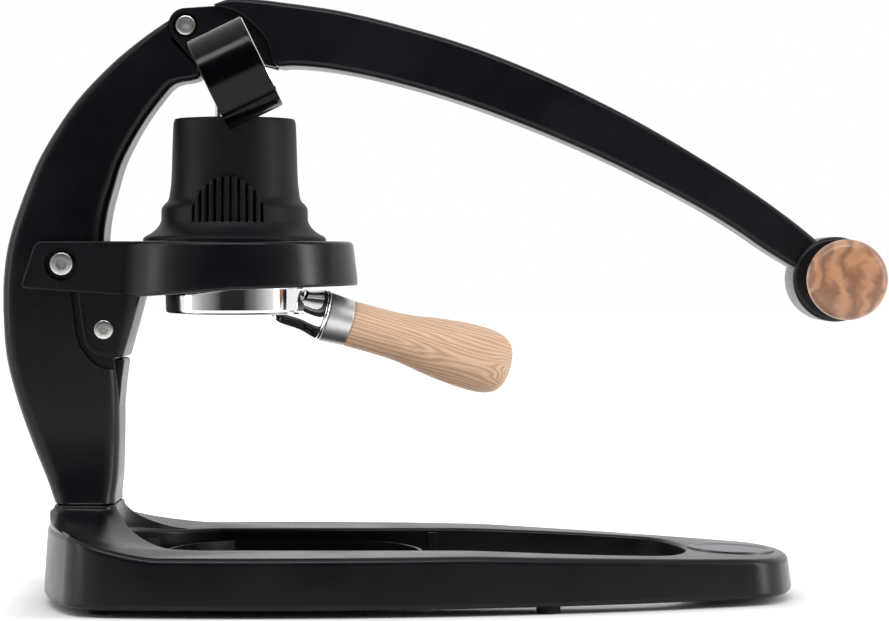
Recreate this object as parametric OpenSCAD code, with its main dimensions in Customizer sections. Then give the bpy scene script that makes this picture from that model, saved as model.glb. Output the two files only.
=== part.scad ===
// Manual lever espresso maker: loop base, curved post, ring head, lever with
// wooden side grip, side gauge on the plunger and a twist-lock filter holder.
// Millimetres, Z up, standing on Z = 0. The brew axis is X = brew_x.

/* [Overall] */
// brew axis back to the rear of the post
rear_reach = 109.2; // [105:0.1:114]
// brew axis forward to the front of the boss that carries the grip
front_reach = 306.3; // [300:0.1:312]

/* [Base] */
// half width of the base at its widest place
base_half_w = 95; // [88:0.5:100]
// height of the rim above the table at the rear
rim_h = 27; // [24:0.5:30]
// underside of the casting above the table
base_under = 3.5; // [2.5:0.1:4.5]
// radius of the long bowed sides in plan
base_side_r = 600; // [520:5:700]
// brew axis back to the rear edge of the base
base_rear = 89.6; // [88:0.1:92]
// brew axis forward to the tip of the base
base_front = 266.7; // [262:0.1:272]
// half width of the opening
loop_half_w = 54.5; // [52:0.5:57]
// brew axis forward to the front end of the opening
loop_front = 216; // [208:0.5:220]
// radius of the badge disc on the tip
badge_r = 20.5; // [17:0.5:22]
// place of the badge centre ahead of the brew axis
badge_x = 238; // [237:0.5:240]

/* [Tray] */
// radius of the round dish
tray_r = 62; // [56:0.5:63]
// height of the dish wall
tray_h = 14.5; // [11:0.5:16]
// wall thickness of the dish
tray_wall = 1.6; // [1.2:0.1:2.4]

/* [Post and head] */
// height of the seam between base and post
seam_z = 44.8; // [43:0.1:46]
// half thickness of the post along its lower half
post_half_t = 19; // [18:0.1:20]
// outer radius of the head ring
head_r = 59; // [57.5:0.1:59]
// underside of the head ring at the brew axis
head_z0 = 147.8; // [147:0.1:148.4]
// top of the head ring
head_z1 = 169.6; // [169:0.1:170]
// thickness of each arm beside the post
arm_t = 9; // [8:0.1:10]
// bore of the brew cylinder
bore_r = 25.5; // [24.5:0.1:26]
// wall of the brew cylinder
tube_wall = 2.5; // [2:0.1:2.8]

/* [Lever] */
// lever pivot behind the brew axis
pivot_back = 22.6; // [22:0.1:23.2]
// lever pivot above the table
pivot_z = 272.6; // [272:0.1:273.4]
// half thickness of the lever beam
beam_half_t = 16; // [14.5:0.1:17]
// outer face of the fork prongs
prong_out = 12; // [11.5:0.1:12.5]
// thickness of each prong
prong_t = 5.9; // [5.4:0.1:6]
// radius of the boss that carries the grip
boss_r = 20.2; // [19:0.1:21]
// height of the grip axis
grip_z = 151.6; // [150:0.1:153]
// mid-plane of the lever out to the end of the grip
grip_out = 62.5; // [58:0.5:66]
// largest radius of the grip
grip_r = 18.6; // [17:0.1:19.4]

/* [Plunger and gauge] */
// height of the plunger pin with the lever down
pin_z = 250.6; // [250:0.1:251.4]
// radius of the plunger pin
pin_r = 4; // [3.5:0.1:4.2]
// gauge centre outboard of the brew axis
gauge_out = 50; // [49:0.1:53]
// gauge centre ahead of the brew axis
gauge_ahead = 3.8; // [2:0.1:4.5]
// gauge centre height with the lever down
gauge_z = 247; // [245.5:0.1:249]
// radius of the gauge case
gauge_r = 22.7; // [21:0.1:23.2]
// length of the gauge case
gauge_len = 27.6; // [25:0.1:29]
// upward tilt of the gauge face in degrees
gauge_tilt = 26; // [22:1:30]

/* [Filter holder] */
// outer radius of the holder below the head
holder_r = 33.5; // [32.8:0.1:34.2]
// underside of the holder
holder_z0 = 135; // [133.5:0.1:136]
// turn of the handle away from the front
handle_yaw = 11; // [8:0.5:14]
// droop of the handle below level
handle_droop = 15.55; // [14:0.05:17]
// largest radius of the wooden handle
handle_r = 15.9; // [14:0.1:16.5]

/* [Hidden] */
$fn = 72;
brew_x = (rear_reach - front_reach) / 2;
eps = 0.02;
fit = 0.05;
clear = 0.3;

// base plan
base_side_x = 10;
base_rear_r = 180;
base_rear_corner = 27;
base_nose_r = 78;
base_nose_corner = 30;
base_edge_r = 3.5;
base_foot_r = 2.5;
base_draft = 1.6;
slope_from = 115;
slope_run = 0.0405;
ridge_h = 9.6;
ridge_from = -28;
ridge_run = 42;
ridge_n = 3;
loop_rear_r = 56;
loop_rear = 53;
loop_turn_x = 140;
loop_side_r = 200;
loop_end_r = 90;
loop_end_corner = 22;
loop_edge_r = 2;
shell_t = 6;
shell_top = 15;
hollow_from = -38;
hollow_to = 120;
rear_n = 4;
corner_n = 6;
side_n = 6;
nose_n = 4;
ledge_z = 6.6;
ledge_h = 3;
tray_z = ledge_z + fit;
tray_x = 28;
tray_flat = loop_half_w - 1.5;
badge_seat = 1.4;

// feet
foot_r = 5.5;
foot_plug_r = 3;
foot_plug_h = 6;
foot_spots = [[148, 69.5], [148, -69.5], [-56, 70], [-56, -70]];

// post foot
foot_back = -83.6;
foot_front = -55.5;
foot_half_t = 23.5;
foot_corner = 8;
boss_land = 0.8;
seat_flare = 60;
seat_clip = 2.6;
foot_bolt_r = 4;
foot_bolt_y = 13;
foot_bolt_x = (foot_back + foot_front) / 2;
foot_bolt_head_r = 6.5;
foot_bolt_head_h = 8;
foot_bolt_seat = 18;
foot_bolt_reach = 16;

// head
frame_bore = 44;
head_draft = 2;
under_dip = 4.3;
tab_t = 4;
field_deep = 0.8;
tab_in = post_half_t - 3;
arm_in = post_half_t + fit;
arm_out = arm_in + arm_t;
arm_bolt = [-79.6, 158.9];
arm_bolt_r = 3;
arm_bolt_head_r = 5.35;
arm_cbore_r = 7.9;
arm_cbore_t = 4.5;
tab_bolt = [-60.4, 127.8];
tab_bolt_r = 2.5;
tab_bolt_head_r = 4.5;
bolt_bite = 12;

// brew chamber
tube_z0 = 163;
tube_z1 = head_z1 + 56.4;
tube_r = bore_r + tube_wall;
flange_r = frame_bore - fit;
web_z = 160.5;
gate_r = 29;
collar_r = 35.8;
lug_r = 40;
lug_half = 12;
collar_gap = 0.5;
undercut_z0 = 152;
undercut_z1 = 156.2;
group_z0 = 148.4;
rim_z = 155.5;
lip_t = 1;
lip_z = rim_z + lip_t;
screen_t = 0.8;
screen_r = 34;
gasket_in = 29.5;
gasket_out = collar_r + collar_gap;
basket_r = 29.3;
basket_wall = 0.7;
basket_z0 = 137;
cavity_r = basket_r + 0.6;

// ribbed patch on the sleeve
patch_ribs = 9;
patch_dir = -92;
patch_z0 = head_z1 + 9;
rib_step = 6.1;

// lever fork
slot_dir = -46.7;
slot_in = 22.3;
slot_out = 31.8;
slot_half = pin_r + 1.6;
lobe_r = slot_half + 4;
ear_r = 8.2;
tongue_r = 7.9;
tongue_t = prong_out - prong_t - 2 * fit;
pivot_bolt_r = 3;
pivot_head_r = 4.7;
pivot_head_h = 2.6;
pivot_cbore_r = 6;
pivot_cbore_t = 3;
bush_r = 4;
boss_half = 18;
boss_edge = 2.5;
rod_r = 4;
grip_x = front_reach - boss_r;
rod_head_r = 7.5;
rod_head_h = 4;

// plunger
piston_z0 = 163.6;
piston_h = 23;
piston_r = bore_r - 0.06;
ring_r = 1.3;
ring_spots = [5, 18];
stem_r = 7;
duct_r = 1.5;
head_collar_r = 9.5;
head_collar_z0 = pin_z - 22.4;
head_collar_z1 = pin_z - 14.6;
stem_top = head_collar_z0 + 7;
pin_far = prong_out + 4.2;
washer_r = 9;
washer_t = 1.2;
washer_y = prong_out + 0.3;
nut_af = 14;
fitting_y0 = washer_y + washer_t;
fitting_y1 = gauge_out - gauge_r + 1.2;
stub_r = 4.5;
case_wall = 2;
case_back = 3;
gauge_turn = 1.5;

// filter-holder handle stations along its own axis
handle_z = 145.7;
neck_t0 = 21;
neck_t1 = 43;
groove_t1 = 45.4;
ferrule_t1 = 57.5;
wood_t1 = 139.6;
stud_r = 4;

// shared functions and helpers

// points along an arc; a following arc starts at its second point
function arc_pts(c, r, a0, a1, n, first = 1) =
    [for (i = [first : n]) [c[0] + r * cos(a0 + (a1 - a0) * i / n), c[1] + r * sin(a0 + (a1 - a0) * i / n)]];

// centre of a corner circle inside both given circles, at the front or rear crossing
function inner_centre(c1, r1, c2, r2, front) =
    let (d = norm(c2 - c1), u = (c2 - c1) / d,
        a = (r1 * r1 - r2 * r2 + d * d) / (2 * d), h = sqrt(r1 * r1 - a * a),
        p = c1 + a * u, q1 = p + h * [-u[1], u[0]], q2 = p - h * [-u[1], u[0]])
    (q1[0] > q2[0]) == front ? q1 : q2;

function angle_to(a, b) = atan2(b[1] - a[1], b[0] - a[0]);

rear_c = [base_rear_r - base_rear, 0];
side_c = [base_side_x, base_half_w - base_side_r];
nose_c = [base_front - base_nose_r, 0];
rear_k = inner_centre(rear_c, base_rear_r - base_rear_corner, side_c,
    base_side_r - base_rear_corner, false);
nose_k = inner_centre(nose_c, base_nose_r - base_nose_corner, side_c,
    base_side_r - base_nose_corner, true);

// angles on the side arc where the deck starts to rise and to slope
ridge_a = acos((ridge_from - base_side_x) / base_side_r);
kink_a = acos((slope_from - base_side_x) / (base_side_r - base_draft - base_edge_r));
function base_half(d) =
    let (a1 = angle_to(rear_c, rear_k), a2 = angle_to(side_c, rear_k),
        a3 = angle_to(side_c, nose_k), a4 = angle_to(nose_c, nose_k))
    concat(arc_pts(rear_c, base_rear_r - d, 180, a1, rear_n, 0),
        arc_pts(rear_k, base_rear_corner - d, a1, a2, corner_n),
        arc_pts(side_c, base_side_r - d, a2, ridge_a, ridge_n),
        arc_pts(side_c, base_side_r - d, ridge_a, kink_a, side_n - ridge_n),
        arc_pts(side_c, base_side_r - d, kink_a, a3, side_n),
        arc_pts(nose_k, base_nose_corner - d, a3, a4, corner_n),
        arc_pts(nose_c, base_nose_r - d, a4, 0, nose_n));

loop_rear_c = [loop_rear_r - loop_rear, 0];
loop_side_c = [loop_turn_x, loop_half_w - loop_side_r];
loop_end_c = [loop_front - loop_end_r, 0];
loop_k = inner_centre(loop_side_c, loop_side_r - loop_end_corner, loop_end_c,
    loop_end_r - loop_end_corner, true);
loop_join = asin(loop_half_w / loop_rear_r);

// opening, with a point for each point of the outer outline
function loop_half(d) =
    let (a1 = angle_to(loop_side_c, loop_k), a2 = angle_to(loop_end_c, loop_k),
        x0 = loop_rear_c[0] - (loop_rear_r - d) * cos(loop_join), y = loop_half_w - d)
    concat(arc_pts(loop_rear_c, loop_rear_r - d, 180, 180 - loop_join, rear_n + corner_n, 0),
        [for (i = [1 : side_n]) [x0 + (slope_from - x0) * i / side_n, y]],
        [[loop_turn_x, y]],
        arc_pts(loop_side_c, loop_side_r - d, 90, a1, side_n - 1),
        arc_pts(loop_k, loop_end_corner - d, a1, a2, corner_n),
        arc_pts(loop_end_c, loop_end_r - d, a2, 0, nose_n));

// closes a half outline that runs from rear to front by mirroring it
function whole(h) = concat(h, [for (i = [len(h) - 2 : -1 : 1]) [h[i][0], -h[i][1]]]);

// the deck falls toward the nose and rises to a ridge under the post
function deck_z(x) = rim_h - max(0, x - slope_from) * slope_run
    + ridge_h * pow(min(1, max(0, (ridge_from - x) / ridge_run)), 1.5);

// solid through closed rings of equal count, with the caps given as face lists
module skin(rings, cap0, cap1) {
    n = len(rings[0]);
    k = len(rings) - 1;
    pts = [for (r = rings) for (p = r) p];
    sides = [for (j = [0 : k - 1]) for (i = [0 : n - 1]) for (t = [0, 1])
        t == 0 ? [j * n + i, j * n + (i + 1) % n, (j + 1) * n + (i + 1) % n]
            : [j * n + i, (j + 1) * n + (i + 1) % n, (j + 1) * n + i]];
    polyhedron(pts, concat(sides, cap0, [for (f = cap1) [for (v = f) v + k * n]]));
}

// hollow ring through closed rings, the last one joined back to the first
module skin_round(rings) {
    n = len(rings[0]);
    k = len(rings);
    polyhedron([for (r = rings) for (p = r) p],
        [for (j = [0 : k - 1]) for (i = [0 : n - 1]) for (t = [0, 1])
            let (a = j * n, b = ((j + 1) % k) * n, e = (i + 1) % n)
            t == 0 ? [a + i, a + e, b + e] : [a + i, b + e, b + i]]);
}

function flip(faces) = [for (f = faces) [for (i = [len(f) - 1 : -1 : 0]) f[i]]];

function disc_face(n) = [[for (i = [0 : n - 1]) i]];

// rounded-rectangle ring between two points of the XZ plane, t either side in Y
function ring_xz(o, i, t, c, n = 4) =
    let (l = norm(o - i), u = (o - i) / l, m = (o + i) / 2)
    [for (q = [0 : 3]) for (s = [0 : n])
        let (a = 90 * q + 90 * s / n, sx = (q == 0 || q == 3) ? 1 : -1, sy = q < 2 ? 1 : -1,
            p = sx * (l / 2 - c) + c * cos(a), y = sy * (t - c) + c * sin(a))
        [m[0] + u[0] * p, y, m[1] + u[1] * p]];

// rows are [outer x, outer z, inner x, inner z, half thickness, corner]
module beam_skin(rows) {
    rings = [for (r = rows) ring_xz([r[0], r[1]], [r[2], r[3]], r[4], r[5])];
    n = len(rings[0]);
    skin(rings, flip(disc_face(n)), disc_face(n));
}

module at_brew() {
    translate([brew_x, 0, 0])
        children();
}

// lies a flat XZ drawing upright, centred on Y
module upright(t) {
    rotate([90, 0, 0])
        linear_extrude(height = t, center = true)
            children();
}

// rod along Y between two places
module rod_y(x, z, r, y0, y1) {
    translate([x, y0, z])
        rotate([-90, 0, 0])
            cylinder(r = r, h = y1 - y0);
}

module tube(r_out, r_in, z0, z1) {
    difference() {
        translate([0, 0, z0])
            cylinder(r = r_out, h = z1 - z0);
        translate([0, 0, z0 - 1])
            cylinder(r = r_in, h = z1 - z0 + 2);
    }
}

module both_sides() {
    children();
    mirror([0, 1, 0])
        children();
}

// base

function level(outline, z) = [for (p = outline) [p[0], p[1], z]];

function on_deck(outline, drop) = [for (p = outline) [p[0], p[1], deck_z(p[0]) - drop]];

// ceiling of the hollow underside, deep only along the sides
function under_hollow(outline) = [for (p = outline)
    [p[0], p[1], p[0] > hollow_from && p[0] < hollow_to ? shell_top : base_under + 0.8]];

// the casting all in one ring: outer wall, deck, wall of the opening, hollow underside
module base_shape() {
    skin_round(concat(
        [level(whole(base_half(shell_t)), base_under),
            level(whole(base_half(base_foot_r)), base_under),
            level(whole(base_half(0)), base_under + base_foot_r)],
        [for (a = [0 : 30 : 90])
            on_deck(whole(base_half(base_draft + base_edge_r * (1 - cos(a)))),
                base_edge_r * (1 - sin(a)))],
        [for (a = [90 : -30 : 0]) on_deck(whole(loop_half(-loop_edge_r * (1 - cos(a)))),
            loop_edge_r * (1 - sin(a)))],
        [level(whole(loop_half(0)), base_under),
            level(whole(loop_half(-shell_t)), base_under),
            under_hollow(whole(loop_half(-shell_t))),
            under_hollow(whole(base_half(shell_t)))]));
}

function rect_ring(x0, x1, y, c, z, n = 4) =
    [for (q = [0 : 3]) for (s = [0 : n])
        let (a = 180 - 90 * q - 90 * s / n, sx = (q == 0 || q == 3) ? -1 : 1, sy = q < 2 ? 1 : -1,
            cx = (x0 + x1) / 2 + sx * ((x1 - x0) / 2 - c))
        [cx + c * cos(a), sy * (y - c) + c * sin(a), z]];

// between the deck and the top of the seat, w from 0 to 1
function seat_level(ring, w) =
    [for (p = ring) [p[0], p[1], (deck_z(p[0]) - 0.7) * (1 - w) + (seam_z - boss_land) * w]];

function seat_ring(q, z = 0) = rect_ring(foot_back - boss_land - q, foot_front + boss_land + q,
    foot_half_t + boss_land + q, foot_corner + boss_land + q, z);

// flared seat that carries the post
module post_seat() {
    rings = concat([seat_ring(seat_flare, rim_h - 5), seat_level(seat_ring(seat_flare), -0.1)],
        [for (a = [76 : -19 : 0])
            seat_level(seat_ring(seat_flare * (1 - cos(a))), 1 - sin(a))],
        [seat_ring(0, seam_z)]);
    n = len(rings[0]);
    difference() {
        intersection() {
            skin(rings, flip(disc_face(n)), disc_face(n));
            linear_extrude(height = seam_z + 1)
                polygon(whole(base_half(seat_clip)));
        }
        translate([loop_rear_c[0], 0, 0])
            cylinder(r = loop_rear_r + loop_edge_r + 0.5, h = seam_z + 5);
    }
}

// places of the foot bolts
module foot_bolt_spots() {
    for (y = [-foot_bolt_y, foot_bolt_y])
        translate([foot_bolt_x, y, 0])
            children();
}

module badge_place() {
    translate([badge_x, 0, deck_z(badge_x)])
        rotate([0, atan(slope_run), 0])
            children();
}

module base_casting() {
    color("#1c1d20")
        at_brew() {
            difference() {
                union() {
                    base_shape();
                    post_seat();
                }
                foot_bolt_spots()
                    cylinder(r = foot_bolt_r + 0.2, h = seam_z + 1);
                foot_bolt_spots()
                    cylinder(r = foot_bolt_head_r + 0.5, h = foot_bolt_seat);
                for (p = foot_spots)
                    translate([p[0], p[1], base_under - 1])
                        cylinder(r = foot_plug_r + fit, h = foot_plug_h + 1.5);
                badge_place()
                    translate([0, 0, -badge_seat])
                        cylinder(r = badge_r + 0.1, h = 6);
            }
            both_sides()
                for (x = [-22, 70])
                    translate([x, tray_flat - 4, ledge_z - ledge_h])
                        cube([14, 7.5, ledge_h]);
            both_sides()
                translate([92, loop_half_w - 2.5, 12])
                    cube([5.5, 4, deck_z(0) - 14]);
            both_sides()
                translate([-45.5, 28, 16])
                    rotate([0, 0, 38])
                        cube([8, 4, 8]);
        }
}

module base_badge() {
    color("#77797c")
        at_brew()
            badge_place()
                translate([0, 0, -badge_seat])
                    rotate_extrude()
                        polygon(concat([[0, 0], [badge_r, 0], [badge_r, badge_seat]],
                            [for (i = [1 : 6]) [badge_r * (1 - i / 6),
                                badge_seat + 0.9 * (1 - pow(1 - i / 6, 2))]]));
}

module rubber_feet() {
    color("#141414")
        at_brew()
            for (p = foot_spots)
                translate([p[0], p[1], 0]) {
                    cylinder(r = foot_r, h = base_under);
                    translate([0, 0, base_under - eps])
                        cylinder(r = foot_plug_r, h = foot_plug_h);
                }
}

module dish(r, z0, z1, half) {
    intersection() {
        translate([0, 0, z0])
            cylinder(r = r, h = z1 - z0);
        translate([-r, -half, z0 - 1])
            cube([2 * r, 2 * half, z1 - z0 + 2]);
    }
}

module drip_tray() {
    color("#2a2b2e")
        at_brew()
            translate([tray_x, 0, tray_z])
                difference() {
                    dish(tray_r, 0, tray_h, tray_flat);
                    dish(tray_r - tray_wall, tray_wall, tray_h + 1, tray_flat - tray_wall);
                }
}

// post

post_rows = [
    [foot_back, seam_z, foot_front, seam_z, foot_half_t, foot_corner],
    [-85.6, 50, -55.4, 50, 22, foot_corner],
    [-88.7, 58, -54.4, 58, 20.3, foot_corner],
    [-95.4, 74, -53.8, 73, post_half_t, foot_corner],
    [-102.3, 94, -53.8, 91, post_half_t, 7],
    [-107.6, 115, -54.8, 110, post_half_t, 7],
    [-rear_reach, 137.5, -57.5, 130, post_half_t, 7],
    [-109, 151, -60.4, 147, post_half_t, 7],
    [-107.6, 164, -60.8, 160, post_half_t, 7],
    [-104.8, 176, -61, 172, 18.6, 7],
    [-100.9, 187.8, -59.3, 184, 17.8, 7],
    [-96.6, 199.1, -56.3, 195.3, 17, 6.5],
    [-91.3, 210.9, -52.9, 206.5, 16.2, 6],
    [-81.5, 227.2, -47.4, 217.8, 15, 5.5],
    [-71.5, 240.4, -41.3, 228, 14, 5],
    [-58.4, 253.9, -34.4, 237.4, 13.3, 4.5],
    [-50.2, 261, -27.6, 244.5, 12.9, 4],
    [-42, 267.4, -16.8, 247, 12.6, 3.5],
    [-35.1, 272.2, -15.6, 252, 12.4, 3],
    [-28.8, 276.4, -14.6, 264, 12.2, 2.5]];

// zone that the prongs sweep, in the XZ plane about the pivot
module prong_sweep() {
    translate([-pivot_back, pivot_z]) {
        circle(r = ear_r + clear);
        rotate(slot_dir)
            translate([0, -lobe_r - clear])
                square([70, 70]);
    }
}

module tab_recess() {
    for (s = [-1, 1])
        translate([0, s * (tab_in + 10), 0])
            upright(20)
                polygon([[-76.6, 150], [-76.1, 143.7], [-74.7, 132.4], [-73.8, 125.3],
                    [-71.9, 119.6], [-69.3, 115.9], [-66.9, 113], [-63.8, 110.6],
                    [-60.3, 109.2], [-56, 108.8], [-40, 108.8], [-40, 150]]);
}

// shoulder of the post just below the saddle of the head
module post_shoulder() {
    upright(2 * tab_in - 6)
        polygon([[-58, 91], [-53.9, 91], [-52.7, 104], [-51.5, 112.8], [-52.3, 114], [-58, 114]]);
}

module post() {
    color("#1a1b1e")
        at_brew()
            difference() {
                union() {
                    beam_skin(post_rows);
                    post_shoulder();
                    rod_y(-pivot_back, pivot_z, tongue_r, -tongue_t, tongue_t);
                }
                for (s = [-1, 1])
                    translate([0, s * (tongue_t + 10), 0])
                        upright(20)
                            prong_sweep();
                tab_recess();
                foot_bolt_spots()
                    translate([0, 0, seam_z - 1])
                        cylinder(r = foot_bolt_r + 0.02, h = foot_bolt_reach + 2);
                rod_y(arm_bolt[0], arm_bolt[1], arm_bolt_r + 0.02, -40, -post_half_t + bolt_bite);
                rod_y(arm_bolt[0], arm_bolt[1], arm_bolt_r + 0.02, post_half_t - bolt_bite, 40);
                rod_y(tab_bolt[0], tab_bolt[1], tab_bolt_r + 0.02, -40, -post_half_t + bolt_bite);
                rod_y(tab_bolt[0], tab_bolt[1], tab_bolt_r + 0.02, post_half_t - bolt_bite, 40);
                rod_y(-pivot_back, pivot_z, pivot_bolt_r + 0.02, -20, 20);
            }
}

module cap_screw(r, head_r, head_h, length) {
    difference() {
        union() {
            cylinder(r = head_r, h = head_h);
            translate([0, 0, -length])
                cylinder(r = r, h = length + eps);
        }
        translate([0, 0, head_h * 0.4])
            cylinder(r = r * 0.95, h = head_h, $fn = 6);
    }
}

module foot_bolts() {
    color("#8d9094")
        at_brew()
            foot_bolt_spots()
                translate([0, 0, foot_bolt_seat])
                    rotate([180, 0, 0])
                        cap_screw(foot_bolt_r, foot_bolt_head_r, foot_bolt_head_h,
                            seam_z - foot_bolt_seat + foot_bolt_reach);
}

// head

// tab plate outline and the sunk field on it, in the XZ plane
tab_side = [[-73.1, 149], [-72.7, 143.7], [-71.4, 132.4], [-70.5, 126], [-69.5, 121.8],
    [-67.9, 118.6], [-65.3, 116.4], [-62.4, 115.2], [-59.1, 114.8], [-55, 114.8], [-51, 149]];
tab_field = [[-71, 141.2], [-69.8, 132.4], [-68.8, 125.3], [-66.6, 121], [-63.6, 118.5],
    [-60.4, 117.7], [-56.4, 117.9], [-55.2, 118.9], [-51.1, 140.2]];

// front corners rounded, back straight
function saddle_ring(x0, x1, y, c, z) =
    concat([[x0, -y, z]], [for (a = [-90 : 15 : 0]) [x1 - c + c * cos(a), c - y + c * sin(a), z]],
        [for (a = [0 : 15 : 90]) [x1 - c + c * cos(a), y - c + c * sin(a), z]], [[x0, y, z]]);

// block between the tabs, in front of the post
module saddle() {
    y = tab_in + fit + tab_t;
    rings = [saddle_ring(-54.9, -51.4, y, 3.4, 114.8), saddle_ring(-57.2, -47.1, y, 5, 130),
        saddle_ring(-59.9, -43, y, 6.5, 145.5)];
    n = len(rings[0]);
    skin(rings, disc_face(n), flip(disc_face(n)));
}

// everything under the sloping underside of the ring and arms
module under_slope() {
    upright(2 * head_r + 10)
        polygon([[-110, 130], [-110, head_z0 - 0.3], [-98.5, head_z0 - 0.3],
            [-42, head_z0 - under_dip], [3, head_z0 - 0.9], [54, head_z0 + 0.7],
            [70, head_z0 + 1], [70, 130]]);
}

module head_frame() {
    color("#202124")
        at_brew()
            difference() {
                union() {
                    difference() {
                        union() {
                            rotate_extrude()
                                polygon(concat([[20, head_z0 - 6], [head_r, head_z0 - 6],
                                    [head_r, head_z0 + 1]],
                                    [for (a = [0 : 15 : 90])
                                        [head_r - head_draft - 2.5 + 2.5 * cos(a),
                                            head_z1 - 2.5 + 2.5 * sin(a)]],
                                    [[20, head_z1]]));
                            for (s = [-1, 1])
                                translate([0, s * (arm_in + arm_out) / 2, 0])
                                    upright(arm_t)
                                        polygon([[-30, head_z0 - 6], [-98, head_z0 - 6],
                                            [-98.2, head_z0 + 1.5], [-92.4, head_z1 - 2.4],
                                            [-91.2, head_z1 - 0.8], [-89.2, head_z1],
                                            [-30, head_z1]]);
                        }
                        under_slope();
                    }
                    for (s = [-1, 1])
                        translate([0, s * (tab_in + fit + tab_t / 2), 0])
                            upright(tab_t)
                                polygon(tab_side);
                    saddle();
                }
                translate([0, 0, head_z0 - 10])
                    cylinder(r = frame_bore, h = head_z1 - head_z0 + 20);
                translate([-rear_reach - 1, -post_half_t - fit, head_z0 - 7])
                    cube([rear_reach - head_r - 1, 2 * (post_half_t + fit), 40]);
                for (s = [-1, 1])
                    translate([0, s * (tab_in + fit + tab_t + 5 - field_deep), 0])
                        upright(10)
                            polygon(tab_field);
                for (s = [-1, 1])
                    translate([arm_bolt[0], 0, arm_bolt[1]])
                        rotate([s * 90, 0, 0]) {
                            cylinder(r = arm_bolt_r + 0.2, h = 60);
                            translate([0, 0, arm_out - arm_cbore_t])
                                cylinder(r = arm_cbore_r, h = 20);
                        }
                rod_y(tab_bolt[0], tab_bolt[1], tab_bolt_r + 0.2, -30, 30);
            }
}

module arm_bolts() {
    color("#5c5f63")
        at_brew()
            for (s = [-1, 1])
                translate([arm_bolt[0], 0, arm_bolt[1]])
                    rotate([s * 90, 0, 0])
                        translate([0, 0, arm_out - arm_cbore_t])
                            cap_screw(arm_bolt_r, arm_bolt_head_r, 4.2,
                                arm_out - arm_cbore_t - post_half_t + bolt_bite - 1);
}

module tab_bolts() {
    color("#5c5f63")
        at_brew()
            for (s = [-1, 1])
                translate([tab_bolt[0], 0, tab_bolt[1]])
                    rotate([s * 90, 0, 0])
                        translate([0, 0, tab_in + fit + tab_t - field_deep])
                            cap_screw(tab_bolt_r, tab_bolt_head_r, 2.6, bolt_bite - 1);
}

module brew_cylinder() {
    color("#c3c6c9")
        at_brew() {
            tube(tube_r, bore_r, tube_z0, tube_z1);
            tube(flange_r, bore_r + 1, tube_z0, head_z1);
        }
}

module group_ring() {
    color("#b9bcc0")
        at_brew()
            difference() {
                translate([0, 0, group_z0])
                    cylinder(r = flange_r, h = tube_z0 - group_z0);
                translate([0, 0, group_z0 - 1])
                    cylinder(r = gate_r, h = tube_z0 - group_z0 + 2);
                translate([0, 0, group_z0 - 1])
                    cylinder(r = collar_r + collar_gap, h = web_z - group_z0 + 1);
                translate([0, 0, undercut_z0])
                    cylinder(r = lug_r + collar_gap, h = undercut_z1 - undercut_z0);
                for (a = [0, 180])
                    rotate([0, 0, handle_yaw - 55 + 90 + a])
                        lug_sector(lug_r + 0.3, group_z0 - 1, undercut_z0 + 1, lug_half + 3);
            }
}

// sector of a disc, half angle given
module lug_sector(r, z0, z1, half) {
    translate([0, 0, z0])
        linear_extrude(height = z1 - z0)
            intersection() {
                circle(r = r);
                polygon([[0, 0], [60 * cos(half), -60 * sin(half)], [60 * cos(half), 60 * sin(half)]]);
            }
}

module shower_screen() {
    color("#d3d5d8")
        at_brew()
            difference() {
                translate([0, 0, web_z - screen_t])
                    cylinder(r = screen_r, h = screen_t);
                for (k = [1 : 4])
                    for (i = [0 : 6 * k - 1])
                        rotate([0, 0, i * 60 / k])
                            translate([k * 5.4, 0, web_z - 2])
                                cylinder(r = 0.9, h = 4, $fn = 16);
            }
}

module group_gasket() {
    color("#1b1b1b")
        at_brew()
            tube(gasket_out - fit, gasket_in, lip_z, web_z - screen_t);
}

// outer side of the sleeve: radius, height above the head ring
sleeve_side = [[tube_r + fit, 0], [flange_r - 0.3, 0], [43.6, 1.8], [41.4, 3.2], [38.2, 4.7],
    [36, 7.2], [35, 10], [34.8, 15], [34, 17.2], [32.1, 19.2], [31.2, 21.9], [30.5, 26.4],
    [29.9, 41.2], [29.4, 55.4], [29.1, 57.4], [28.6, 58.9], [tube_r + fit, 58.2]];

module silicone_sleeve() {
    in_r = tube_r + fit;
    color("#232427")
        at_brew() {
            difference() {
                rotate_extrude()
                    polygon([for (q = sleeve_side) [q[0], head_z1 + q[1]]]);
                for (i = [0 : patch_ribs])
                    rotate([0, 0, patch_dir + (i - patch_ribs / 2) * rib_step])
                        translate([31.6, -0.85, patch_z0])
                            cube([10, 1.7, 11]);
            }
            for (i = [0 : patch_ribs - 1])
                let (k = i - (patch_ribs - 1) / 2)
                    rotate([0, 0, patch_dir + k * rib_step])
                        translate([in_r + 0.5, -1.1, patch_z0])
                            cube([35 - in_r - 0.5, 2.2, 22 - 0.45 * k * k]);
        }
}

// lever

module pivot_bolt() {
    color("#85888c")
        at_brew()
            translate([-pivot_back, -prong_out + pivot_cbore_t, pivot_z])
                rotate([90, 0, 0])
                    cap_screw(pivot_bolt_r, pivot_head_r, pivot_head_h,
                        2 * prong_out - pivot_cbore_t - 0.4);
}

module pivot_nut() {
    color("#85888c")
        at_brew()
            difference() {
                rod_y(-pivot_back, pivot_z, pivot_head_r, prong_out - pivot_cbore_t, prong_out - 0.4);
                rod_y(-pivot_back, pivot_z, pivot_bolt_r + 0.02, 0, 20);
            }
}

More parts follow.
